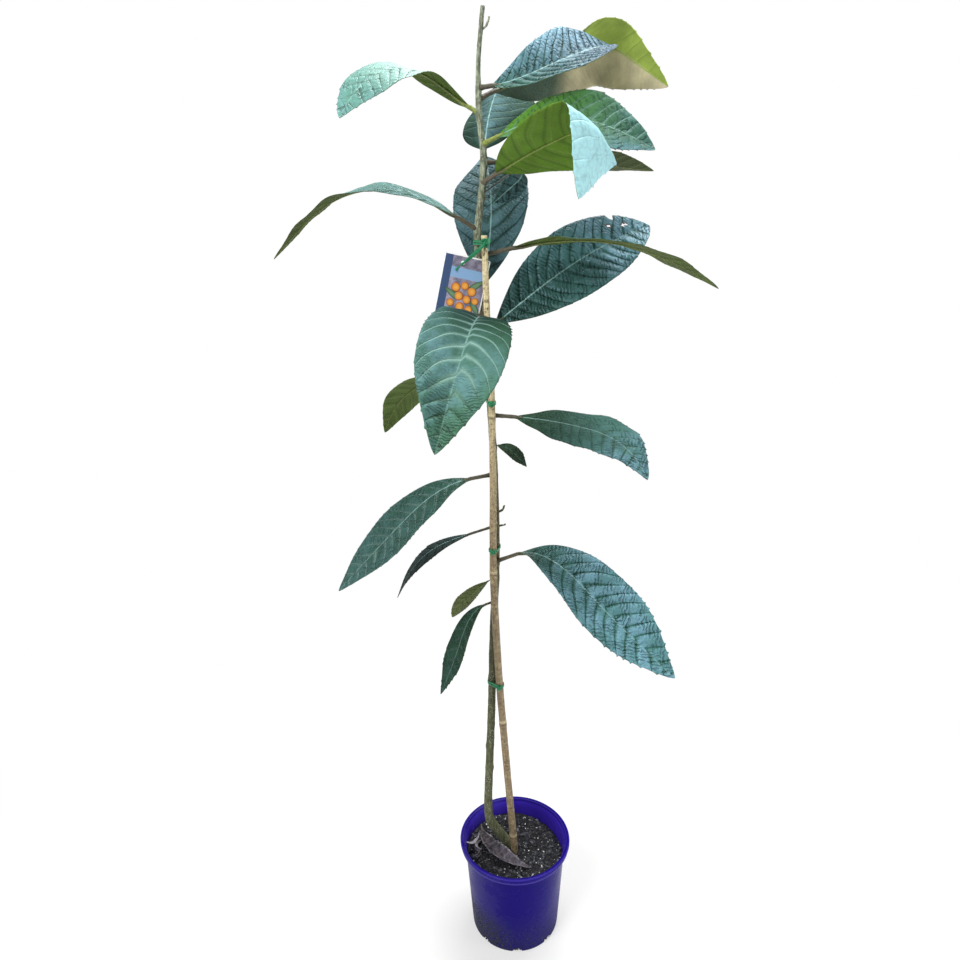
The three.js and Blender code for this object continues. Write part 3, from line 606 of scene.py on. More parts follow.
def leafUpperMaterial(name, look):
    made, tree, skin = newMaterial(name)
    phase, across, reach, run, film, veins, pale, wrinkle, slant, pitch, matt, midrib, scar = [
        numberAt(tree, mark) for mark in
        "phase across reach run film veins pale wrinkle slant pitch matt midrib scar".split()]
    tint = colourAt(tree, "tint")
    # 0 in the middle of a panel, 0.5 on a side vein
    part, _, near = veinPlace(tree, phase)
    edge = calc(tree, "ABSOLUTE", across)
    vein = ramp(tree, near, 0.41, 0.50, smooth=True)
    # the groove, where the painted shade and highlight lie, is wide by the midrib and thins out towards the
    # margin
    narrow = ramp(tree, edge, 0.0, 0.9, 0.14, 0.43)
    groove = ramp(tree, near, narrow, 0.5, smooth=True)
    middle = calc(tree, "ABSOLUTE", reach)
    centre = ramp(tree, middle, 0.13, 0.06, smooth=True)
    surface = addNode(tree, "CombineXYZ", inputs={0: reach, 1: run, 2: 0.0}).outputs[0]
    warp = addNode(tree, "TexNoise", inputs={"Vector": surface, "Scale": 0.9, "Detail": 2.0}).outputs[1]
    bent = addNode(tree, "VectorMath", {"operation": "MULTIPLY_ADD"},
                   {0: warp, 1: (1.5, 1.0, 0), 2: surface}).outputs[0]
    cells = addNode(tree, "TexVoronoi", {"feature": "F1", "voronoi_dimensions": "2D"},
                    {"Vector": bent, "Scale": 10 / look["cell"], "Randomness": 1.0}).outputs["Distance"]
    patches = noise(tree, surface, 0.30, 3.0)
    grain = noise(tree, surface, 7.0, 3.0)
    # short creases from vein to vein, new ones in each panel: the sine of a distance that grows
    # outwards and, by the leaf's slant, towards the tip, bent by noise
    panel = calc(tree, "FLOOR", phase)
    bentParts = addNode(tree, "SeparateXYZ", inputs={0: bent}).outputs
    outwards = calc(tree, "ABSOLUTE", bentParts[0])
    distance = addNode(tree, "Mix", {"data_type": "FLOAT"}, {0: slant, 2: outwards, 3: bentParts[1]}).outputs[0]
    slanted = calc(tree, "MULTIPLY", part, 3.2)
    begun = calc(tree, "MULTIPLY_ADD", panel, 2.4, slanted)
    turns = calc(tree, "DIVIDE", 20 * math.pi, pitch)
    steps = calc(tree, "MULTIPLY_ADD", distance, turns, begun)
    rungs = calc(tree, "SINE", steps)
    zone = addNode(tree, "Mapping", inputs={"Vector": surface, "Location": (7.3, 2.1, 0)}).outputs[0]
    zones = noise(tree, zone, 0.55, 2.0)
    wrinkled = ramp(tree, zones, 0.42, 0.60, 0.08, 1.0, smooth=True)
    rung = ramp(tree, rungs, 0.0, 0.95, smooth=True)
    amount = calc(tree, "MULTIPLY", wrinkled, wrinkle)
    ladder = calc(tree, "MULTIPLY", rung, amount)
    # colour: the leaf's own green, a bluish painted sheen for reflected sky in patches and on the panels'
    # crests, painted shade in the grooves
    spread = ramp(tree, patches, 0.40, 0.58, 0.5, 1.0)
    covered = calc(tree, "MULTIPLY", spread, film)
    crest = ramp(tree, groove, start=0.76, end=0.1)
    share = calc(tree, "MULTIPLY", covered, crest)
    sheenPainted = mixed(tree, share, tint, colour(look["paintedSheenColour"]))
    # painted shade: each small puffed cell darkens towards its edge, where the bump dips
    cellShade = ramp(tree, cells, 0.25, 0.8, 1.04, 0.88)
    cellShaded = scaled(tree, sheenPainted, cellShade)
    # painted shade: the grooves over the side veins and the creases between them are darkened, patchily, with
    # the dark colour, standing for shade in the hollows
    uneven = ramp(tree, zones, 0.35, 0.65, 0.45, 1.0)
    grooveDepth = calc(tree, "MULTIPLY", veins, uneven)
    grooveShadeShare = calc(tree, "MULTIPLY", groove, grooveDepth)
    paintedShadeShare = calc(tree, "MULTIPLY_ADD", ladder, 0.35, grooveShadeShare)
    shadedGrooves = mixed(tree, paintedShadeShare, cellShaded, colour(look["dark"]), "MULTIPLY")
    # painted highlight: where pale is set, the slope beside each side vein and the vein itself are lightened,
    # standing for light caught on the ridges; the midrib's pale line is its own colour
    softLine = calc(tree, "MULTIPLY", groove, 0.7)
    bothLines = calc(tree, "MULTIPLY_ADD", vein, 0.3, softLine)
    veinShare = calc(tree, "MULTIPLY", bothLines, pale)
    fading = ramp(tree, run, 0.0, 24.0, 0.7, 0.2)
    faded = calc(tree, "MULTIPLY", centre, fading)
    middleLine = calc(tree, "MULTIPLY", faded, midrib)
    lineShare = calc(tree, "MAXIMUM", veinShare, middleLine)
    ribbed = mixed(tree, lineShare, shadedGrooves, colour(look["veinPale"]), "LIGHTEN")
    shown = mixed(tree, scar, ribbed, colour(look["scar"]))
    setInputs(tree, skin, {"Base Color": shown})
    wearAndHighlight = ramp(tree, grain, start=look["roughness"] - 0.08, end=look["roughness"] + 0.12)
    rough = calc(tree, "ADD", wearAndHighlight, matt)
    setInputs(tree, skin, {"Roughness": rough, "IOR": 1.45, "Specular IOR Level": 0.45,
                           "Specular Tint": colour("#b9dcf2")})
    cellHeight = calc(tree, "MULTIPLY", cells, -0.2)
    rungHeight = calc(tree, "MULTIPLY_ADD", ladder, -1.0, cellHeight)
    cut = calc(tree, "MULTIPLY_ADD", vein, -0.3, rungHeight)
    height = calc(tree, "MULTIPLY_ADD", grain, 0.06, cut)
    addBump(tree, skin, height, 0.9, 0.0030)
    return made


# Loquat leaf, under face: short woolly felt over raised veins. The eye gets a dull soft olive with
# a paler net of veins and no gloss.
underLook = {"veinPale": "#8f9a5c", "net": 5.0}


def leafUnderMaterial(name, look):
    made, tree, skin = newMaterial(name)
    phase, reach, run, bands = [numberAt(tree, mark) for mark in ("phase", "reach", "run", "bands")]
    tint = colourAt(tree, "underTint")
    _, off, near = veinPlace(tree, phase)
    vein = ramp(tree, near, 0.43, 0.49, smooth=True)
    surface = addNode(tree, "CombineXYZ", inputs={0: reach, 1: run, 2: 0.0}).outputs[0]
    net = addNode(tree, "TexVoronoi", {"feature": "DISTANCE_TO_EDGE", "voronoi_dimensions": "2D"},
                  {"Vector": surface, "Scale": 10 / look["net"]}).outputs["Distance"]
    netLine = ramp(tree, net, 0.12, 0.0, smooth=True)
    patches = noise(tree, surface, 0.35, 4.0)
    felt = noise(tree, surface, 14.0, 3.0)
    shade = ramp(tree, patches, 0.3, 0.7, 0.75, 1.2)
    toned = scaled(tree, tint, shade)
    # a soft painted shadow lies along one side of each vein, standing for the shade the raised vein casts on
    # the felt
    beside = calc(tree, "SUBTRACT", off, 0.16)
    beyond = calc(tree, "ABSOLUTE", beside)
    shadow = ramp(tree, beyond, 0.17, 0.02, smooth=True)
    veinShadowShare = calc(tree, "MULTIPLY", shadow, bands)
    veinShadowed = mixed(tree, veinShadowShare, toned, colour("#7c9150"), "MULTIPLY")
    shown = ramp(tree, bands, 0.0, 0.5, 0.04, 0.3)
    veinShare = calc(tree, "MULTIPLY", vein, shown)
    veined = mixed(tree, veinShare, veinShadowed, colour(look["veinPale"]))
    netShare = calc(tree, "MULTIPLY", netLine, 0.16)
    netted = mixed(tree, netShare, veined, colour(look["veinPale"]))
    setInputs(tree, skin, {"Base Color": netted, "Roughness": 0.72, "IOR": 1.4, "Specular IOR Level": 0.3,
                           "Sheen Weight": 0.12, "Sheen Roughness": 0.5, "Sheen Tint": colour("#cfd3a8")})
    ridge = calc(tree, "MULTIPLY_ADD", netLine, 0.3, vein)
    height = calc(tree, "MULTIPLY_ADD", felt, 0.35, ridge)
    addBump(tree, skin, height, 0.6, 0.0008)
    return made


# Leaf stalk and midrib: woody and downy at the trunk, then smooth and pale green under the blade.
# The eye gets a mottled matt stalk.
stalkLook = {"roughness": 0.6}


def stalkMaterial(name, look):
    made, tree, skin = newMaterial(name)
    tint = colourAt(tree, "tint")
    place = addNode(tree, "TexCoord").outputs["Object"]
    mottle = noise(tree, place, 420.0, 3.0)
    speck = ramp(tree, mottle, 0.35, 0.65, 0.7, 1.25)
    toned = scaled(tree, tint, speck)
    setInputs(tree, skin, {"Base Color": toned, "Roughness": look["roughness"]})
    addBump(tree, skin, mottle, 0.4, 0.0006)
    return made


leafLooks = [leafUpperMaterial("loquat_leaf_cuticle", upperLook),
             leafUnderMaterial("loquat_leaf_felt", underLook), stalkMaterial("loquat_leaf_stalk", stalkLook)]
# notches: where along the blade, which half, depth in mm (less than 0 stands out) and length;
# holes: where along the blade, place across it in mm, radius in mm
leafFaults = {
    "leaf_crown": {"notches": [(0.34, -1, -13, 0.24)]},
    "leaf_right_broad": {"notches": [(0.825, -1, 9, 0.014)], "holes": [(0.87, -27, 3.6), (0.79, -30, 2.6)]},
}
for seed, (name, leaf) in enumerate(leaves.items()):
    faults = leafFaults.get(name, {})
    makeLeaf(name, leaf, pathAt(trunkPath, leaf["height"]), seed, leafLooks, 3.0,
             faults.get("notches", ()), faults.get("holes", ()), (name,))
print("leaves:", len(leaves))


# ---- trunk ----
trunkShape = {"rows": 620, "around": 24, "node": 1.3, "bark": 0.3,
              "taper": [(75, 8.8), (200, 8.8), (235, 8), (290, 7.2), (380, 6.8), (520, 6.3), (620, 5.9),
                        (1009, 5.3), (1240, 5), (1315, 4.6), (1400, 3.7), (1450, 3.0), (1513, 2.8)]}
twigs = [(1486, (-27, 2, 1502), 1.7), (828, (-13, -2, 842), 2.2), (806, (-13, -3, 812), 1.8)]

# Loquat bark: thin, smooth and grey over green, with small corky specks. The eye gets a dull
# mottled olive low down and a greyer, paler skin towards the young top.
barkLook = {"low": "#6c7050", "middle": "#66664a", "high": "#adb69c", "speck": "#c3c6b4", "dark": "#3a3a24"}


def barkMaterial(name, look):
    made, tree, skin = newMaterial(name)
    place = addNode(tree, "TexCoord").outputs["Object"]
    height = addNode(tree, "SeparateXYZ", inputs={0: place}).outputs[2]
    up = ramp(tree, height, 0.3, 0.7)
    top = ramp(tree, height, 0.95, 1.35)
    first = mixed(tree, up, colour(look["low"]), colour(look["middle"]))
    ground = mixed(tree, top, first, colour(look["high"]))
    # streaks follow the stem: 2 mm wide, four times as long
    long = addNode(tree, "Mapping", inputs={"Vector": place, "Scale": (1, 1, 0.28)}).outputs[0]
    streaks = noise(tree, long, 330.0, 5.0, 0.6)
    patches = noise(tree, place, 45.0, 3.0)
    specks = addNode(tree, "TexVoronoi", inputs={"Vector": place, "Scale": 300.0}).outputs["Distance"]
    dark = ramp(tree, streaks, 0.42, 0.62, 0.75, 0.0)
    streaked = mixed(tree, dark, ground, colour(look["dark"]))
    dots = ramp(tree, specks, 0.3, 0.16, 0.0, 0.8)
    where = ramp(tree, patches, 0.45, 0.6)
    dotShare = calc(tree, "MULTIPLY", dots, where)
    dotted = mixed(tree, dotShare, streaked, colour(look["speck"]))
    setInputs(tree, skin, {"Base Color": dotted, "Roughness": 0.8})
    relief = calc(tree, "MULTIPLY_ADD", dotShare, 0.4, streaks)
    addBump(tree, skin, relief, 0.7, 0.0012)
    return made


def makeTrunk():
    # a rod along the trunk's path: radius = taper + a swelling under each leaf and at each older
    # leaf scar + fine bark waves; then the twigs, tapering rods of their own
    path = evenSteps(trunkPath, trunkShape["rows"])
    across, above = framesAlong(path, (0, -1, 0))
    ways = ringWays(across, above, trunkShape["around"])
    taper = np.interp(path[:, 2], *zip(*trunkShape["taper"]))[:, None]
    swell = np.zeros((1, trunkShape["around"])) * taper
    seats = [(leaf["height"], leaf["heading"]) for leaf in leaves.values()]
    seats += [(h, (137.5 * k) % 360) for k, h in enumerate(range(575, 300, -46))]
    for height, heading in seats:
        way = np.array([math.cos(math.radians(heading)), math.sin(math.radians(heading)), 0])
        facing = np.clip(ways @ way, 0, 1) ** 2
        ring = np.exp(-((path[:, 2] - height + 2) / 5.5) ** 2)[:, None]
        swell = swell + trunkShape["node"] * ring * (0.25 + 0.75 * facing)
    skin = path[:, None] + ways * taper[..., None]
    bark = trunkShape["bark"] * (ripple(skin * np.array([1, 1, 0.25]), 7, 21) + 0.5 * ripple(skin, 4, 22))
    parts = [tube(path, across, above, taper + swell + bark, trunkShape["around"])]
    for at, tip, thick in twigs:
        root = pathAt(trunkPath, at)
        gone = np.linspace(0, 1, 14)[:, None]
        line = root + (np.array(tip) - root) * gone + np.array([2.5, 0, -1.5]) * np.sin(math.pi * gone)
        line = line + 0.8 * np.stack([ripple(line, 14, 30 + k) for k in range(3)], 1)
        sideways, upwards = framesAlong(line, (0, -1, 0))
        rough = thick * (1 - 0.35 * np.linspace(0, 1, 14)[:, None]) * (1 + 0.2 * ripple(line, 5, 40))[:, None]
        parts.append(tube(line, sideways, upwards, rough, 10))
    points, faces = joinParts(parts)
    addPiece("trunk_bark", points, faces, [barkMaterial("loquat_bark", barkLook)], ("trunk",))


makeTrunk()
print("trunk made")


# ---- bamboo stake ----
stakeShape = {"rows": 700, "around": 22, "joints": (194, 443, 728, 985),
              "taper": [(40, 5.0), (130, 5.4), (165, 6.3), (350, 6.3), (520, 6.1), (728, 5.7), (1240, 4.2)]}

# Bamboo cane: a split-free culm, dried outdoors and sawn at both ends. The eye gets a straw
# colour with fine long fibres, brown weather spots and pale rings at the joints.
bambooLook = {"low": "#8d7a5c", "bleached": "#bcab82", "high": "#f2e2b2", "stain": "#57472f", "ring": "#dccca2"}


def bambooMaterial(name, look):
    made, tree, skin = newMaterial(name)
    place = addNode(tree, "TexCoord").outputs["Object"]
    height = addNode(tree, "SeparateXYZ", inputs={0: place}).outputs[2]
    up = ramp(tree, height, 0.7, 1.25, smooth=True)
    ground = mixed(tree, up, colour(look["low"]), colour(look["high"]))
    # fibres about 0.6 mm wide and 25 mm long, drawn 1.5 mm wide to show
    long = addNode(tree, "Mapping", inputs={"Vector": place, "Scale": (1, 1, 0.05)}).outputs[0]
    fibres = noise(tree, long, 600.0, 4.0)
    spots = noise(tree, place, 260.0, 4.0, 0.7)
    patches = noise(tree, place, 22.0, 2.0)
    lines = ramp(tree, fibres, 0.35, 0.65, 0.78, 1.12)
    wearAndHighlight = noise(tree, place, 95.0, 3.0, 0.6)
    wornShare = ramp(tree, wearAndHighlight, 0.5, 0.6, 0.0, 0.55)
    bleached = mixed(tree, wornShare, ground, colour(look["bleached"]))
    lined = scaled(tree, bleached, lines)
    spotty = ramp(tree, spots, 0.50, 0.62)
    where = ramp(tree, patches, 0.38, 0.6, 0.3, 1.0)
    share = calc(tree, "MULTIPLY", spotty, where)
    stained = mixed(tree, share, lined, colour(look["stain"]))
    joint = numberAt(tree, "joint")
    ringed = mixed(tree, joint, stained, colour(look["ring"]))
    groove = numberAt(tree, "groove")
    darkened = mixed(tree, groove, ringed, colour(look["stain"]))
    setInputs(tree, skin, {"Base Color": darkened, "Roughness": 0.55})
    addBump(tree, skin, fibres, 0.35, 0.0008)
    return made


def makeStake():
    # a rod along the stake's path: radius = taper + a swell at each joint - a groove in it
    path = evenSteps(stakePath, stakeShape["rows"])
    across, above = framesAlong(path, (0, -1, 0))
    z = path[:, 2]
    taper = np.interp(z, *zip(*stakeShape["taper"]))
    around = stakeShape["around"]
    swell = sum(np.exp(-((z - joint) / 6) ** 2) for joint in stakeShape["joints"])
    ring = sum(np.exp(-((z - joint - 5) / 2.6) ** 2) for joint in stakeShape["joints"])
    groove = sum(np.exp(-((z - joint) / 1.5) ** 2) for joint in stakeShape["joints"])
    radii = (taper + 0.8 * swell - 0.7 * groove)[:, None] + np.zeros(around)
    skin = path[:, None] + ringWays(across, above, around) * taper[:, None, None]
    radii = radii + 0.16 * ripple(skin * np.array([1, 1, 0.06]), 5, 52)
    points, faces = tube(path, across, above, radii, around)
    marks = {"joint": np.concatenate([np.repeat(0.55 * ring, around), [0, 0]]),
             "groove": np.concatenate([np.repeat(0.75 * groove, around), [1, 1]])}
    addPiece("stake_cane", points, faces, [bambooMaterial("dried_bamboo_cane", bambooLook)],
             ("bamboo_stake",), marks=marks)


makeStake()
print("stake made")


# ---- ties ----
tieLevels = {"tie_top": 1230, "tie_upper": 1007, "tie_middle": 770, "tie_lower": 520}
tieShape = {"width": 2.3, "thick": 0.75, "clear": 0.9, "steps": 90}

# Tie ribbon: thin stretch-film tape of green polyethylene, pulled into a cord as it was knotted.
# The eye gets a bright emerald with small hard glints along its folds.
tieLook = {"colour": "#14915c", "deep": "#0b6a44", "roughness": 0.33}


def tieMaterial(name, look):
    made, tree, skin = newMaterial(name)
    place = addNode(tree, "TexCoord").outputs["Object"]
    folds = noise(tree, place, 520.0, 2.0)
    shade = ramp(tree, folds, 0.35, 0.65)
    shown = mixed(tree, shade, colour(look["deep"]), colour(look["colour"]))
    setInputs(tree, skin, {"Base Color": shown, "Roughness": look["roughness"]})
    addBump(tree, skin, folds, 0.8, 0.0008)
    return made


tieFilm = tieMaterial("polyethylene_tie_film", tieLook)


def flatTube(path, reference, wide, thin, around=10, closed=False):
    # a tube whose ring is an ellipse: wide across the reference way, thin along it
    across, above = framesAlong(path, reference, closed)
    turn = fullTurn(around)
    wide = np.broadcast_to(np.asarray(wide, float).reshape(-1, 1), (len(path), 1))
    thin = np.broadcast_to(np.asarray(thin, float).reshape(-1, 1), (len(path), 1))
    radii = 1 / np.sqrt((np.cos(turn)[None] / wide) ** 2 + (np.sin(turn)[None] / thin) ** 2)
    return tube(path, across, above, radii, around, closed)


def makeTie(name, level, big):
    # two turns of ribbon round both stems, tipped opposite ways so that they cross in front,
    # then a knot: a short trefoil loop pulled tight over the cane, with two cut tails
    trunkHere, stakeHere = pathAt(trunkPath, level), pathAt(stakePath, level)
    rTrunk = np.interp(level, *zip(*trunkShape["taper"])) + tieShape["clear"]
    rStake = np.interp(level, *zip(*stakeShape["taper"])) + tieShape["clear"]
    angle = fullTurn(tieShape["steps"])
    way = np.stack([np.cos(angle), np.sin(angle)], 1)
    reachTrunk = way @ trunkHere[:2] + rTrunk
    reachStake = way @ stakeHere[:2] + rStake
    blend = smoothStep(reachTrunk - reachStake, -1.5, 1.5)[:, None]
    flat = (trunkHere[:2] + way * rTrunk) * blend + (stakeHere[:2] + way * rStake) * (1 - blend)
    parts = []
    for turnNumber, tip in enumerate((2.4, -2.2)):
        lift = level + tip * np.sin(angle + 0.6 * turnNumber) + 0.5 * ripple(flat, 9, 60 + turnNumber)
        path = np.column_stack([flat, lift])
        wide = tieShape["width"] * (1 + 0.25 * np.sin(3 * angle + turnNumber))
        parts.append(flatTube(path, (0, 0, 1), np.full(len(path), tieShape["thick"]), wide, closed=True))
    size = 5.2 if big else 3.2
    aside, higher = (2.5, 1) if big else (1, 0)
    front = np.array([stakeHere[0] + aside, stakeHere[1] - rStake - 1.6, level + higher])
    s = np.linspace(0, 2 * math.pi, 80, endpoint=False)
    knot = np.stack([np.sin(s) + 1.7 * np.sin(2 * s), 0.75 * -np.sin(3 * s),
                     np.cos(s) - 1.7 * np.cos(2 * s)], 1)
    parts.append(flatTube(front + knot * np.array([0.42, 0.36, 0.42]) * size, (0, 1, 0),
                          np.full(80, 1.5 if big else 1.1), np.full(80, 0.9 if big else 0.7), closed=True))
    for dx, dz in ((6.5, 4.5), (-6, -3.5)) if big else ((4.5, 2.6), (-4.2, -2.6)):
        s = np.linspace(0, 1, 16)[:, None]
        tail = front + np.array([dx, -1.5, dz]) * s + np.array([0, 0, -2.0]) * s ** 2
        parts.append(flatTube(tail, (0, 1, 0), 1.7 - 0.3 * s, 0.6 + 0 * s))
    points, faces = joinParts(parts)
    addPiece(name + "_ribbon", points, faces, [tieFilm], (name,))


for name, level in tieLevels.items():
    makeTie(name, level, name == "tie_top")


def makeLabelRibbon():
    # a loosely twisted pair of ribbons from the top knot down to the label's hole
    route = throughPoints([(-37, -23, 1229), (-44, -22.5, 1222), (-55, -17, 1213), (-65, -10.5, 1205),
                           (-69.5, -7.5, 1202), (-70.5, -5, 1201)], 12)
    run = np.linspace(0, 1, len(route))
    across, above = framesAlong(route, (0, 0, 1))
    parts = []
    for k in range(2):
        spin = 5.5 * run + math.pi * k
        offset = 1.3 * (np.cos(spin)[:, None] * across + np.sin(spin)[:, None] * above)
        strand = route + offset * (1 - 0.6 * run[:, None])
        parts.append(flatTube(strand, (0, 1, 0), 1.7 - 0.5 * run, 0.75 + 0 * run))
    end = route[-4]
    s = np.linspace(0, 1, 12)[:, None]
    tail = end + np.array([-7, -3, -4]) * s + np.array([0, 0, -3]) * s ** 2
    parts.append(flatTube(tail, (0, 1, 0), 1.5 + 0 * s, 0.5 + 0 * s))
    points, faces = joinParts(parts)
    addPiece("label_ribbon_twist", points, faces, [tieFilm], ("label_ribbon",))


makeLabelRibbon()
print("ties made")


# ---- hang label ----
card = {"width": 64, "height": 98, "corner": 2, "hole": (-5, -10, 2.8), "thick": 0.7, "top": (-60, -6.5, 1213),
        "lean": 13.3, "border": 1.8, "bandWidth": 11, "headTop": -17, "headFoot": -31}
# generic round fruit on a plain ground: place and radius of each
fruit = [(-8, -44, 6.5), (4, -40, 5.8), (15, -46, 6.6), (-2, -55, 6.4), (10, -58, 6.0), (22, -58, 5.2),
         (-12, -66, 5.4), (2, -69, 6.2), (15, -71, 5.6)]
printLeaves = [(20, -36, 13, 40), (-13, -53, 12, 150), (24, -68, 12, -50)]


def onCard(x, y, out):
    # card coordinates to the tree: the card hangs upright and leans to its left about its top
    c, s = math.cos(math.radians(card["lean"])), math.sin(math.radians(card["lean"]))
    x, y, out = np.broadcast_arrays(np.asarray(x, float), np.asarray(y, float), np.asarray(out, float))
    return np.stack([card["top"][0] + x * c + y * s, card["top"][1] - out, card["top"][2] - x * s + y * c], -1)


# Hang label: printed polypropylene sheet, die-cut with a punched hole. The eye gets flat clean
# areas of ink with a white margin and a smooth satin face.
cardLook = {"margin": "#ffffff", "band": "#344c74", "head": "#84a9d0", "ground": "#a29bb0", "fold": "#68667a"}


def cardMaterial(name, look):
    made, tree, skin = newMaterial(name)
    across = numberAt(tree, "cardX")
    down = numberAt(tree, "cardY")
    place = addNode(tree, "TexCoord").outputs["Object"]
    halfWidth, tall, border = card["width"] / 2, card["height"], card["border"]
    blotch = noise(tree, place, 110.0, 5.0)
    mottled = ramp(tree, blotch, 0.38, 0.62)
    ground = mixed(tree, mottled, colour(look["fold"]), colour(look["ground"]))
    aboveFoot = calc(tree, "GREATER_THAN", down, card["headFoot"])
    belowTop = calc(tree, "LESS_THAN", down, card["headTop"])
    inHead = calc(tree, "MULTIPLY", aboveFoot, belowTop)
    headed = mixed(tree, inHead, ground, colour(look["head"]))
    inBand = calc(tree, "LESS_THAN", across, border + card["bandWidth"] - halfWidth)
    veinShadowed = mixed(tree, inBand, headed, colour(look["band"]))
    sideways = calc(tree, "ABSOLUTE", across)
    overSide = calc(tree, "GREATER_THAN", sideways, halfWidth - border)
    centred = calc(tree, "ADD", down, tall / 2)
    upright = calc(tree, "ABSOLUTE", centred)
    overEnd = calc(tree, "GREATER_THAN", upright, tall / 2 - border)
    inMargin = calc(tree, "MAXIMUM", overSide, overEnd)
    shown = mixed(tree, inMargin, veinShadowed, colour(look["margin"]))
    setInputs(tree, skin, {"Base Color": shown, "Roughness": 0.38})
    addBump(tree, skin, blotch, 0.05, 0.0005)
    return made


# Printed fruit and leaves: the same sheet under opaque ink. The eye gets round shapes that are
# darker towards their edges.
def inkMaterial(name, middle, rim):
    made, tree, skin = newMaterial(name)
    out = numberAt(tree, "out")
    place = addNode(tree, "TexCoord").outputs["Object"]
    dots = noise(tree, place, 500.0, 2.0)
    edge = calc(tree, "POWER", out, 2.2)
    shade = calc(tree, "MULTIPLY_ADD", dots, 0.25, edge)
    shown = mixed(tree, shade, colour(middle), colour(rim))
    setInputs(tree, skin, {"Base Color": shown, "Roughness": 0.38})
    return made


def makeLabel():
    # card over (angle, s): from the hole's edge out to the rounded outline along the same ray
    halfWidth, tall, corner = card["width"] / 2, card["height"], card["corner"]
    holeX, holeY, holeR = card["hole"]
    quarter = np.linspace(0, math.pi / 2, 7)
    arcs = []
    for n, (x, y) in enumerate(((halfWidth, 0), (-halfWidth, 0), (-halfWidth, -tall), (halfWidth, -tall))):
        centre = np.array([x - math.copysign(corner, x), y + (corner if y < 0 else -corner)])
        turn = quarter + n * math.pi / 2
        arcs.append(centre + corner * np.stack([np.cos(turn), np.sin(turn)], 1))
    # each rounded corner, then the straight side to the next one
    outline = []
    for arc, after in zip(arcs, arcs[1:] + arcs[:1]):
        side = arc[-1] + (after[0] - arc[-1]) * np.linspace(0, 1, 26)[1:-1, None]
        outline += [arc, side]
    outline = np.vstack(outline)
    ray = np.arctan2(outline[:, 1] - holeY, outline[:, 0] - holeX)
    inner = np.stack([holeX + holeR * np.cos(ray), holeY + holeR * np.sin(ray)], 1)
    s = np.linspace(0, 1, 24)[:, None, None]
    flat = inner[None] * (1 - s) + outline[None] * s
    faces = gridFaces(24, len(outline), closedColumns=True)
    points = onCard(flat[..., 0], flat[..., 1], 0)
    marks = {"cardX": flat[..., 0].ravel(), "cardY": flat[..., 1].ravel()}
    sheet = addPiece("hang_label_card", points.reshape(-1, 3), faces,
                     [cardMaterial("printed_polypropylene", cardLook),
                      inkMaterial("bare_polypropylene", "#f4f4f4", "#e2e2e4")], ("plant_label",),
                     marks=marks)
    thicken(sheet, card["thick"])

    # each fruit and leaf is a low dome over (radius, angle), closed at the back; a fruit stands
    # about 0.3 mm proud of the card, and a leaf 0.2 mm
    parts, marks, slots = [], [], []
    rings, around = 6, 22
    rho = np.linspace(0.02, 1, rings)[:, None]
    turn = fullTurn(around)[None]
    shapes = [(x, y, r, r, 0, 0) for x, y, r in fruit]
    shapes += [(x, y, size, size * 0.32, lean, 1) for x, y, size, lean in printLeaves]
    for x, y, wide, high, lean, kind in shapes:
        c, s = math.cos(math.radians(lean)), math.sin(math.radians(lean))
        px, py = rho * np.cos(turn) * wide, rho * np.sin(turn) * high * (1 - 0.45 * kind * np.cos(turn))
        place = onCard(x + px * c - py * s, y + px * s + py * c,
                       card["thick"] / 2 + 0.04 + (0.3 - 0.12 * kind) * np.sqrt(1.02 - rho ** 2) + 0 * turn)
        cells = gridFaces(rings, around, closedColumns=True).tolist()
        middle = list(range(around))
        back = list(range((rings - 1) * around, rings * around))[::-1]
        parts.append((place.reshape(-1, 3), cells + [middle, back]))
        marks.append((rho + 0 * turn).ravel())
        slots += [kind] * (len(cells) + 2)
    points, faces = joinParts(parts)
    inks = [inkMaterial("orange_ink", "#f3b04a", "#b4601c"), inkMaterial("green_ink", "#6f9470", "#2f5136")]
    addPiece("hang_label_print", points, faces, inks, (), faceSlots=slots,
             marks={"out": np.concatenate(marks)})


makeLabel()
print("label made")


# ---- pot ----
pot = {"height": 190, "rim": 100, "neck": 91, "foot": 80, "wall": 1.8, "skirt": 11.6, "bead": 15, "around": 200,
       "notches": 8, "notchWidth": 15, "notchHeight": 7, "notchDepth": 9, "notchTurn": 0.05, "lumps": 26}

# Nursery pot: injection-moulded polypropylene, coloured through. The eye gets a deep violet with a
# soft satin gloss, thin painted highlights along the rim's edges, a paler inside painted as light coming
# through the wall, water marks, and grey splashed soil near the foot.
# the rim-edge colour is a painted highlight, and the inside colour painted light coming through the wall
potLook = {"deep": "#140570", "wearAndHighlight": "#5a4cc0", "inside": "#3a28a8", "dust": "#62607a", "soil": "#34363c",
           "fleck": "#9a9ca6", "roughness": 0.24}


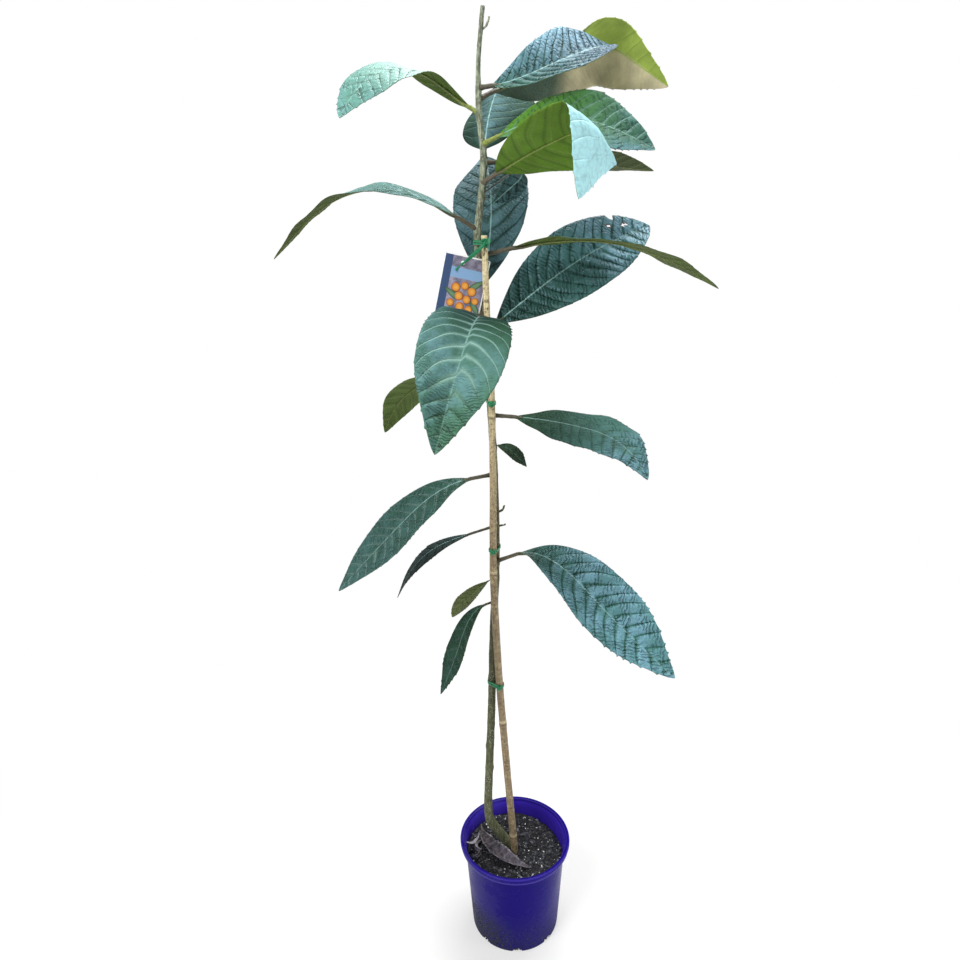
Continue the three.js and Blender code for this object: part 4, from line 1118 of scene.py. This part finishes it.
def potMaterial(name, look):
    made, tree, skin = newMaterial(name)
    place = addNode(tree, "TexCoord").outputs["Object"]
    axes = addNode(tree, "SeparateXYZ", inputs={0: place}).outputs
    dirt = numberAt(tree, "dirt")
    clouds = noise(tree, place, 22.0, 5.0, 0.65)
    spray = noise(tree, place, 300.0, 6.0, 0.75)
    low = ramp(tree, axes[2], 0.11, 0.0, smooth=True)
    left = ramp(tree, axes[0], 0.0, -0.06, smooth=True)
    cloudy = ramp(tree, clouds, 0.38, 0.62)
    lowLeft = calc(tree, "MULTIPLY", low, left)
    wide = calc(tree, "MULTIPLY_ADD", low, 0.35, lowLeft)
    grains = ramp(tree, spray, 0.44, 0.54)
    # dust on the left of the pot, in clouds
    film = calc(tree, "MULTIPLY", left, cloudy)
    filmShare = calc(tree, "MULTIPLY", film, 0.16)
    soilPart = calc(tree, "MULTIPLY", wide, grains)
    soilShare = addNode(tree, "Math", {"operation": "MULTIPLY", "use_clamp": True},
                        {0: soilPart, 1: 1.7}).outputs[0]
    # painted highlight: a thin paler line on each edge of the lip and along the skirt; the inside's paler
    # colour is painted light coming through the wall
    wearAndHighlight = numberAt(tree, "wearAndHighlight")
    edgeHighlight = calc(tree, "MULTIPLY", wearAndHighlight, 0.8)
    inner = numberAt(tree, "inner")
    plain = mixed(tree, inner, colour(look["deep"]), colour(look["inside"]))
    base = mixed(tree, edgeHighlight, plain, colour(look["wearAndHighlight"]))
    dusty = mixed(tree, filmShare, base, colour(look["dust"]))
    flecks = ramp(tree, spray, 0.62, 0.68)
    ground = mixed(tree, flecks, colour(look["soil"]), colour(look["fleck"]))
    soiled = mixed(tree, soilShare, dusty, ground)
    shown = mixed(tree, dirt, soiled, colour(look["soil"]))
    setInputs(tree, skin, {"Base Color": shown})
    coat = calc(tree, "MAXIMUM", soilShare, filmShare)
    scuffs = ramp(tree, clouds, 0.3, 0.7, look["roughness"] - 0.05, look["roughness"] + 0.1)
    rough = calc(tree, "MULTIPLY_ADD", coat, 0.5, scuffs)
    setInputs(tree, skin, {"Roughness": rough, "IOR": 1.49, "Specular IOR Level": 0.05})
    height = calc(tree, "MULTIPLY", soilShare, spray)
    addBump(tree, skin, height, 0.5, 0.001)
    return made


def wallAt(z):
    # outer radius of the tapering wall at a height
    return pot["foot"] + (pot["neck"] - pot["foot"]) * z / (pot["height"] - pot["skirt"])


def makePot():
    # a profile of (radius, height) spun about the axis; at each notch the foot's edge is lifted
    top, bead = pot["height"], pot["height"] - pot["bead"]
    lift = [(r, 0) for r in (2, 20, 45, 62, 68, 70, 71.5, 74, 76.5, 78.3)]
    heights = (0.5, 1.2, 2.2, 3.4, 4.6, 5.8, 7.0, 8.4, 11, 16, 24, 36, 50, 66, 84, 102, 120, 138, 154, 166)
    wall = [(wallAt(z) - 0.35 * math.exp(-z / 1.2), z) for z in heights]
    ridge = [(wallAt(bead) + h, bead + d)
             for d, h in ((-3, 0), (-2, 0.35), (-1.1, 1.15), (0, 1.5), (1.1, 1.15), (1.9, 0.35), (2.6, 0))]
    skirt = [(91.2, top - 11.0), (92.2, top - 11.8), (96.9, top - 11.8), (98.2, top - 11.5),
             (98.7, top - 10.8), (98.8, top - 9), (98.8, top - 7.2), (98.95, top - 6.4), (99.75, top - 5.7),
             (pot["rim"], top - 4.8), (pot["rim"], top - 2.4), (99.6, top - 1.1), (98.6, top - 0.3),
             (96.8, top), (95.4, top - 0.1), (94.2, top - 0.5), (93.5, top - 1.4), (92.9, top - 3.5),
             (91.9, top - 6), (90.2, top - 10), (89.3, top - 15), (88.7, top - 19), (88.3, top - 23),
             (wallAt(160) - pot["wall"], 160), (wallAt(140) - pot["wall"], 140)]
    inside = [(wallAt(z) - pot["wall"], z) for z in (100, 50, 8)]
    inside += [(wallAt(3) - 4, 3.2), (71.4, 2.6), (68.6, 2.4), (60, 2.4), (30, 2.4), (2, 2.4)]
    profile = np.array(lift + wall + ridge + skirt + inside, float)
    radius, height = profile[:, 0][:, None], profile[:, 1][:, None]
    turn = fullTurn(pot["around"])[None]
    spacing = 2 * math.pi / pot["notches"]
    nearest = np.abs((turn - pot["notchTurn"] * spacing + spacing / 2) % spacing - spacing / 2) * pot["foot"]
    ragged = 1.2 * np.sin(turn * 37) + 0.8 * np.sin(turn * 61 + 1)
    window = smoothStep(-nearest, -pot["notchWidth"] / 2 - 1.2, -pot["notchWidth"] / 2 + 1.2)
    foot = window * (pot["notchHeight"] + ragged)
    outer = np.arange(len(profile))[:, None] < len(lift) + 10
    inGroove = smoothStep(radius, pot["foot"] - pot["notchDepth"] - 1.2, pot["foot"] - pot["notchDepth"] + 0.4)
    z = np.where(outer, np.maximum(height, foot * inGroove), height)
    # over each notch the inner floor is lifted as well, so the two skins stay a wall apart
    floorRow = (np.arange(len(profile))[:, None] > len(profile) - len(inside) + 1) & (radius > 2)
    z = np.where(floorRow, np.maximum(height, (foot + pot["wall"] * window) * inGroove), z)
    dirt = np.where(np.arange(len(profile))[:, None] < len(lift) + 1, window * inGroove, 0 * window)
    dirt = np.maximum(dirt, 0.8 * np.where(outer, smoothStep(foot - height, -1.6, 0.2) * window * inGroove, 0))
    wearAndHighlight = np.zeros(len(profile))
    edges = len(lift) + len(wall) + len(ridge)
    # how much painted highlight each row gets, from the skirt's foot up and over the lip
    edgeHighlight = (0.3, 0.9, 1, 1, 1, 0.4, 0, 0, 0, 0, 0.1, 0.5, 0.3, 0, 0, 0.3, 0.4, 0.1)
    wearAndHighlight[edges:edges + len(edgeHighlight)] = edgeHighlight
    # the inside's painted light starts 6 mm down in the lip, lipRows before the straight wall
    lipRows = 7
    inner = np.repeat(np.arange(len(profile)) >= len(profile) - len(inside) - lipRows, pot["around"])
    points = np.stack([radius * np.cos(turn), radius * np.sin(turn), z + 0 * turn], -1)
    rows, around = z.shape[0], pot["around"]
    faces = gridFaces(rows, around, closedColumns=True)[:, ::-1].tolist()
    faces.append(list(range(around))[::-1])
    faces.append([(rows - 1) * around + k for k in range(around)])
    addPiece("pot_shell", points.reshape(-1, 3), faces, [potMaterial("moulded_polypropylene", potLook)],
             ("pot",),
             marks={"dirt": dirt.ravel(), "wearAndHighlight": np.repeat(wearAndHighlight, around), "inner": inner})


makePot()
print("pot made")


# ---- potting mix ----
mix = {"top": 154, "radius": 87.2, "rings": 70, "around": 180, "chips": 2600, "perlite": 500, "straw": 150,
       "mound": 8}

# Potting mix: composted bark fines with coir and perlite, damp. The eye gets a dark crumbly
# ground, brown and black chips, and small white specks.
mixLook = {"dark": "#0b0c0f", "crumb": "#32353c"}


def crumbMaterial(name, dark, light, scale, roughness):
    made, tree, skin = newMaterial(name)
    place = addNode(tree, "TexCoord").outputs["Object"]
    tone = numberAt(tree, "tone")
    crumbs = noise(tree, place, scale, 6.0, 0.7)
    mottle = ramp(tree, crumbs, 0.4, 0.62)
    shade = calc(tree, "MULTIPLY", mottle, tone)
    shown = mixed(tree, shade, colour(dark), colour(light))
    setInputs(tree, skin, {"Base Color": shown, "Roughness": roughness})
    addBump(tree, skin, crumbs, 0.9, 0.0015)
    return made


def mixHeight(x, y):
    # level of the mix: heaped at the back and the left, with a small mound at the trunk's foot, lower
    # at the wall, and crumbly at three sizes
    far = np.hypot(x, y) / mix["radius"]
    heap = mix["mound"] * smoothStep(0.75 * y - 0.35 * x, 0, 75) - 2.5 * smoothStep(far, 0.85, 1.0)
    heap = heap + 3.0 * np.exp(-((x + 14) ** 2 + (y - 10) ** 2) / 500)
    flat = np.stack([x, y], -1)
    level = mix["top"] + heap + 1.5 * ripple(flat, 26, 71)
    return level + 0.9 * ripple(flat, 9, 72, 9) + 0.45 * ripple(flat, 4, 73, 9)


# a ball of 12 corners and 20 faces (an icosahedron), stretched and turned for each chip or grain
golden = (1 + 5 ** 0.5) / 2
ball = unit(np.array([(0, s, t * golden) for s in (-1, 1) for t in (-1, 1)]
                     + [(s, t * golden, 0) for s in (-1, 1) for t in (-1, 1)]
                     + [(t * golden, 0, s) for s in (-1, 1) for t in (-1, 1)], float))
# corners joined by an edge are 1.05 apart, and the others 1.7 or more
joined = np.linalg.norm(ball[:, None] - ball[None], axis=-1) < 1.2
corners = range(len(ball))
ballFaces = [(a, b, c) for a in corners for b in corners[a + 1:] for c in corners[b + 1:]
             if joined[a, b] and joined[b, c] and joined[a, c]]
# each turned so that it faces outwards
ballFaces = [(a, b, c) if np.cross(ball[b] - ball[a], ball[c] - ball[a]) @ ball[a] > 0 else (a, c, b)
             for a, b, c in ballFaces]


def scatter(centres, sizes, pick):
    # a stretched, turned and dented ball at each centre; flattened in height, since crumbs lie flat
    count = len(centres)
    turns = np.linalg.qr(pick.normal(size=(count, 3, 3)))[0]
    turns[:, 2] *= 0.35
    shapes = ball[None] * sizes[:, None] * pick.uniform(0.75, 1.2, (count, len(ball), 1))
    points = np.einsum("nij,nkj->nki", turns, shapes) + centres[:, None]
    faces = np.array(ballFaces)[None] + len(ball) * np.arange(count)[:, None, None]
    flips = np.linalg.det(turns) < 0
    faces[flips] = faces[flips][:, :, ::-1]
    return points.reshape(-1, 3), faces.reshape(-1, 3)


def makeMix():
    # surface over (radius, angle), turned down at the wall and closed below; then chips, straw and
    # grains scattered on it
    rho = np.concatenate([np.linspace(0.01, 1, mix["rings"]), [1.0, 1.0]])[:, None]
    turn = fullTurn(mix["around"])[None]
    x, y = mix["radius"] * rho * np.cos(turn), mix["radius"] * rho * np.sin(turn)
    z = mixHeight(x, y)
    z[-2] -= 4
    z[-1] -= 10
    points = np.stack([x, y, z], -1).reshape(-1, 3)
    faces = gridFaces(len(rho), mix["around"], closedColumns=True).tolist()
    faces.append(list(range(mix["around"]))[::-1])
    last = (len(rho) - 1) * mix["around"]
    faces.append([last + k for k in range(mix["around"])])
    addPiece("mix_surface", points, faces,
             [crumbMaterial("bark_compost", mixLook["dark"], mixLook["crumb"], 340.0, 0.92)],
             ("potting_mix",), marks={"tone": np.full(len(points), 0.6)})
    for name, count, low, high, look, seed in (
            ("mix_chips", mix["chips"], (1.2, 0.9, 0.7), (8.5, 5.2, 3.0),
             ("bark_chips", "#08090b", "#7a7d86", 260.0, 0.6), 81),
            ("mix_straw", mix["straw"], (1.8, 0.3, 0.25), (6.5, 0.6, 0.4),
             ("straw_bits", "#6b6355", "#a39a85", 500.0, 0.8), 83),
            ("mix_perlite", mix["perlite"], (0.4, 0.4, 0.3), (2.7, 2.1, 1.6),
             ("perlite_grains", "#dddcd8", "#ffffff", 700.0, 0.9), 82)):
        pick = np.random.default_rng(seed)
        away = mix["radius"] * 0.975 * np.sqrt(pick.uniform(0, 1, count))
        angle = pick.uniform(0, 2 * math.pi, count)
        cx, cy = away * np.cos(angle), away * np.sin(angle)
        # most are small, and few come near the greatest size
        spread = (np.array(high) - low) * pick.uniform(0, 1, (count, 1)) ** 2.5
        sizes = np.array(low) + spread * pick.uniform(0.6, 1, (count, 3))
        centres = np.stack([cx, cy, mixHeight(cx, cy) + 0.35 * sizes[:, 2]], 1)
        points, faces = scatter(centres, sizes, pick)
        tone = np.repeat(pick.uniform(0, 1, count) ** (3.5 if name == "mix_chips" else 0.5), len(ball))
        addPiece(name, points, faces, [crumbMaterial(*look)], (), marks={"tone": tone})


def makeNotchSoil():
    # lumps caught in each drainage notch, just inside the wall: the same stretched balls
    spacing = 2 * math.pi / pot["notches"]
    pick = np.random.default_rng(91)
    turn = pot["notchTurn"] * spacing + spacing * np.repeat(np.arange(pot["notches"]), pot["lumps"])
    turn = turn + pick.uniform(-0.09, 0.09, turn.size)
    away = pick.uniform(72.5, 79.3, turn.size)
    centres = np.stack([away * np.cos(turn), away * np.sin(turn), pick.uniform(1.2, 4.8, turn.size)], 1)
    sizes = pick.uniform(1.0, 2.4, (turn.size, 1)) * pick.uniform(0.7, 1.2, (turn.size, 3))
    points, faces = scatter(centres, sizes, pick)
    addPiece("notch_soil", points, faces, [crumbMaterial("caught_soil", "#0c0d0f", "#4a4a4c", 500.0, 0.9)], (),
             marks={"tone": np.repeat(pick.uniform(0, 1, turn.size) ** 2, len(ball))})


makeMix()
makeNotchSoil()
print("mix made")


# ---- fallen leaf and dry scraps ----
# the upper face's darker colour towards the stalk is painted shade on that end of the curled leaf
dryLeaf = dict(heading=-83, rise=0, roll=0, petiole=8, blade=136, width=36, bend=4, bendAt=0.5, bendSpan=0.9,
               twist=0, sweep=-78, cup=44, ribs=11, relief=1.4, upper=("#373236", "#55505a"),
               under=("#6a656a", "#7b777c"), paintedSheen=(0.0, 0.0, 0.0, 0), waves=6.0, crumple=2.0, tooth=1.0,
               ribTint="#5a534c")
scraps = {
    "dry_scrap_a": dict(seat=(-66.4, 31.8, 168), heading=262, rise=6, roll=40, petiole=2, blade=46, width=17,
                        bend=50, twist=130, sweep=20),
    "dry_scrap_b": dict(seat=(-62, 14, 164), heading=232, rise=8, roll=-45, petiole=2, blade=36, width=14,
                        bend=70, twist=-80, sweep=-50),
    "dry_scrap_c": dict(seat=(-67, -4, 162), heading=285, rise=6, roll=30, petiole=2, blade=26, width=9,
                        bend=60, twist=90, sweep=60),
}

# Dead loquat leaf: dried to grey-brown parchment. The eye gets a matt curled skin with a faint
# net of veins.
dryLook = {"line": "#a6a0a4"}


def dryMaterial(name, mark, look):
    made, tree, skin = newMaterial(name)
    reach = numberAt(tree, "reach")
    run = numberAt(tree, "run")
    phase = numberAt(tree, "phase")
    tint = colourAt(tree, mark)
    _, _, near = veinPlace(tree, phase)
    vein = ramp(tree, near, 0.42, 0.49, smooth=True)
    surface = addNode(tree, "CombineXYZ", inputs={0: reach, 1: run, 2: 0.0}).outputs[0]
    blotch = noise(tree, surface, 1.1, 5.0, 0.6)
    shade = ramp(tree, blotch, 0.35, 0.65, 0.4, 1.6)
    toned = scaled(tree, tint, shade)
    across = numberAt(tree, "across")
    edge = calc(tree, "ABSOLUTE", across)
    rim = ramp(tree, edge, 0.8, 1.0, 0.0, 0.8, smooth=True)
    rimPatches = ramp(tree, blotch, 0.42, 0.6)
    rimShare = calc(tree, "MULTIPLY", rim, rimPatches)
    veins = calc(tree, "MULTIPLY", vein, 0.35)
    share = calc(tree, "MAXIMUM", veins, rimShare)
    shown = mixed(tree, share, toned, colour(look["line"]))
    setInputs(tree, skin, {"Base Color": shown, "Roughness": 0.85})
    height = calc(tree, "MULTIPLY_ADD", vein, 0.6, blotch)
    addBump(tree, skin, height, 0.8, 0.001)
    return made


dryLooks = [dryMaterial("dry_leaf_upper", "tint", dryLook), dryMaterial("dry_leaf_under", "underTint", dryLook),
            leafLooks[2]]
makeLeaf("dry_leaf", dryLeaf, np.array([-64.0, 54.0, 162.0]), 31, dryLooks, 0.0, replaces=("fallen_leaf",))
for seed, (name, change) in enumerate(scraps.items()):
    scrap = {**dryLeaf, "bendAt": 0.5, "bendSpan": 1.0, "ribs": 5, "waves": 3.0,
             "under": ("#8b868b", "#979298"), **change}
    makeLeaf(name, scrap, np.array(scrap["seat"], float), 41 + seed, dryLooks, 0.0)
print("litter made")


# ---- floor and light ----
studio = {"floor": "#f4f4f2", "world": 0.27, "key": 70, "fill": 7, "top": 84, "side": 9}

floorMesh = bpy.data.meshes.new("floor")
floorMesh.from_pydata([(-30, -30, -0.0004), (30, -30, -0.0004), (30, 30, -0.0004), (-30, 30, -0.0004)], [],
                      [(0, 1, 2, 3)])
floor = addObject("floor", floorMesh)
floorPaint, floorTree, floorSkin = newMaterial("studio_floor")
floorSkin.inputs["Base Color"].default_value = colour(studio["floor"])
floorSkin.inputs["Roughness"].default_value = 0.9
floorSkin.inputs["Specular IOR Level"].default_value = 0.1
glow = addNode(floorTree, "Emission", inputs={"Color": (1, 1, 1, 1), "Strength": 1.0})
ways = addNode(floorTree, "LightPath").outputs
seen = calc(floorTree, "MAXIMUM", ways["Is Camera Ray"], ways["Is Glossy Ray"])
where = addNode(floorTree, "NewGeometry").outputs["Position"]
distance = addNode(floorTree, "VectorMath", {"operation": "LENGTH"}, {0: where}).outputs["Value"]
farOff = ramp(floorTree, distance, 0.35, 1.3, 0.45, 1.0, smooth=True)
share = calc(floorTree, "MULTIPLY", farOff, seen)
blend = addNode(floorTree, "MixShader", inputs={0: share, 1: floorSkin.outputs[0], 2: glow.outputs[0]})
floorTree.links.new(blend.outputs[0], floorTree.nodes["Material Output"].inputs["Surface"])
floorMesh.materials.append(floorPaint)

world = bpy.data.worlds.new("studio")
bpy.context.scene.world = world
world.use_nodes = True
skyTree = world.node_tree
sky = skyTree.nodes["Background"]
rays = addNode(skyTree, "LightPath").outputs
direct = calc(skyTree, "MAXIMUM", rays["Is Camera Ray"], rays["Is Transmission Ray"])
shine = ramp(skyTree, direct, start=studio["world"], end=1.0)
skyTree.links.new(shine, sky.inputs["Strength"])
sky.inputs["Color"].default_value = (1, 1, 1, 1)

for name, power, size, place, aim in (
        ("key", studio["key"], 1.5, (-1.5, -1.7, 2.9), (0, 0, 0.9)),
        ("fill", studio["fill"], 2.0, (2.2, -1.6, 1.2), (0, 0, 0.7)),
        ("top", studio["top"], 1.6, (0.4, 0.6, 3.2), (0, 0, 1.0)),
        ("side", studio["side"], 0.5, (1.9, -0.5, 0.5), (0, 0, 0.1))):
    lamp = bpy.data.lights.new(name, "AREA")
    lamp.energy = power
    lamp.size = size
    holder = addObject(name, lamp)
    way = Vector(place) - Vector(aim)
    holder.location = place
    holder.rotation_euler = way.to_track_quat("Z", "Y").to_euler()
print("studio lit")
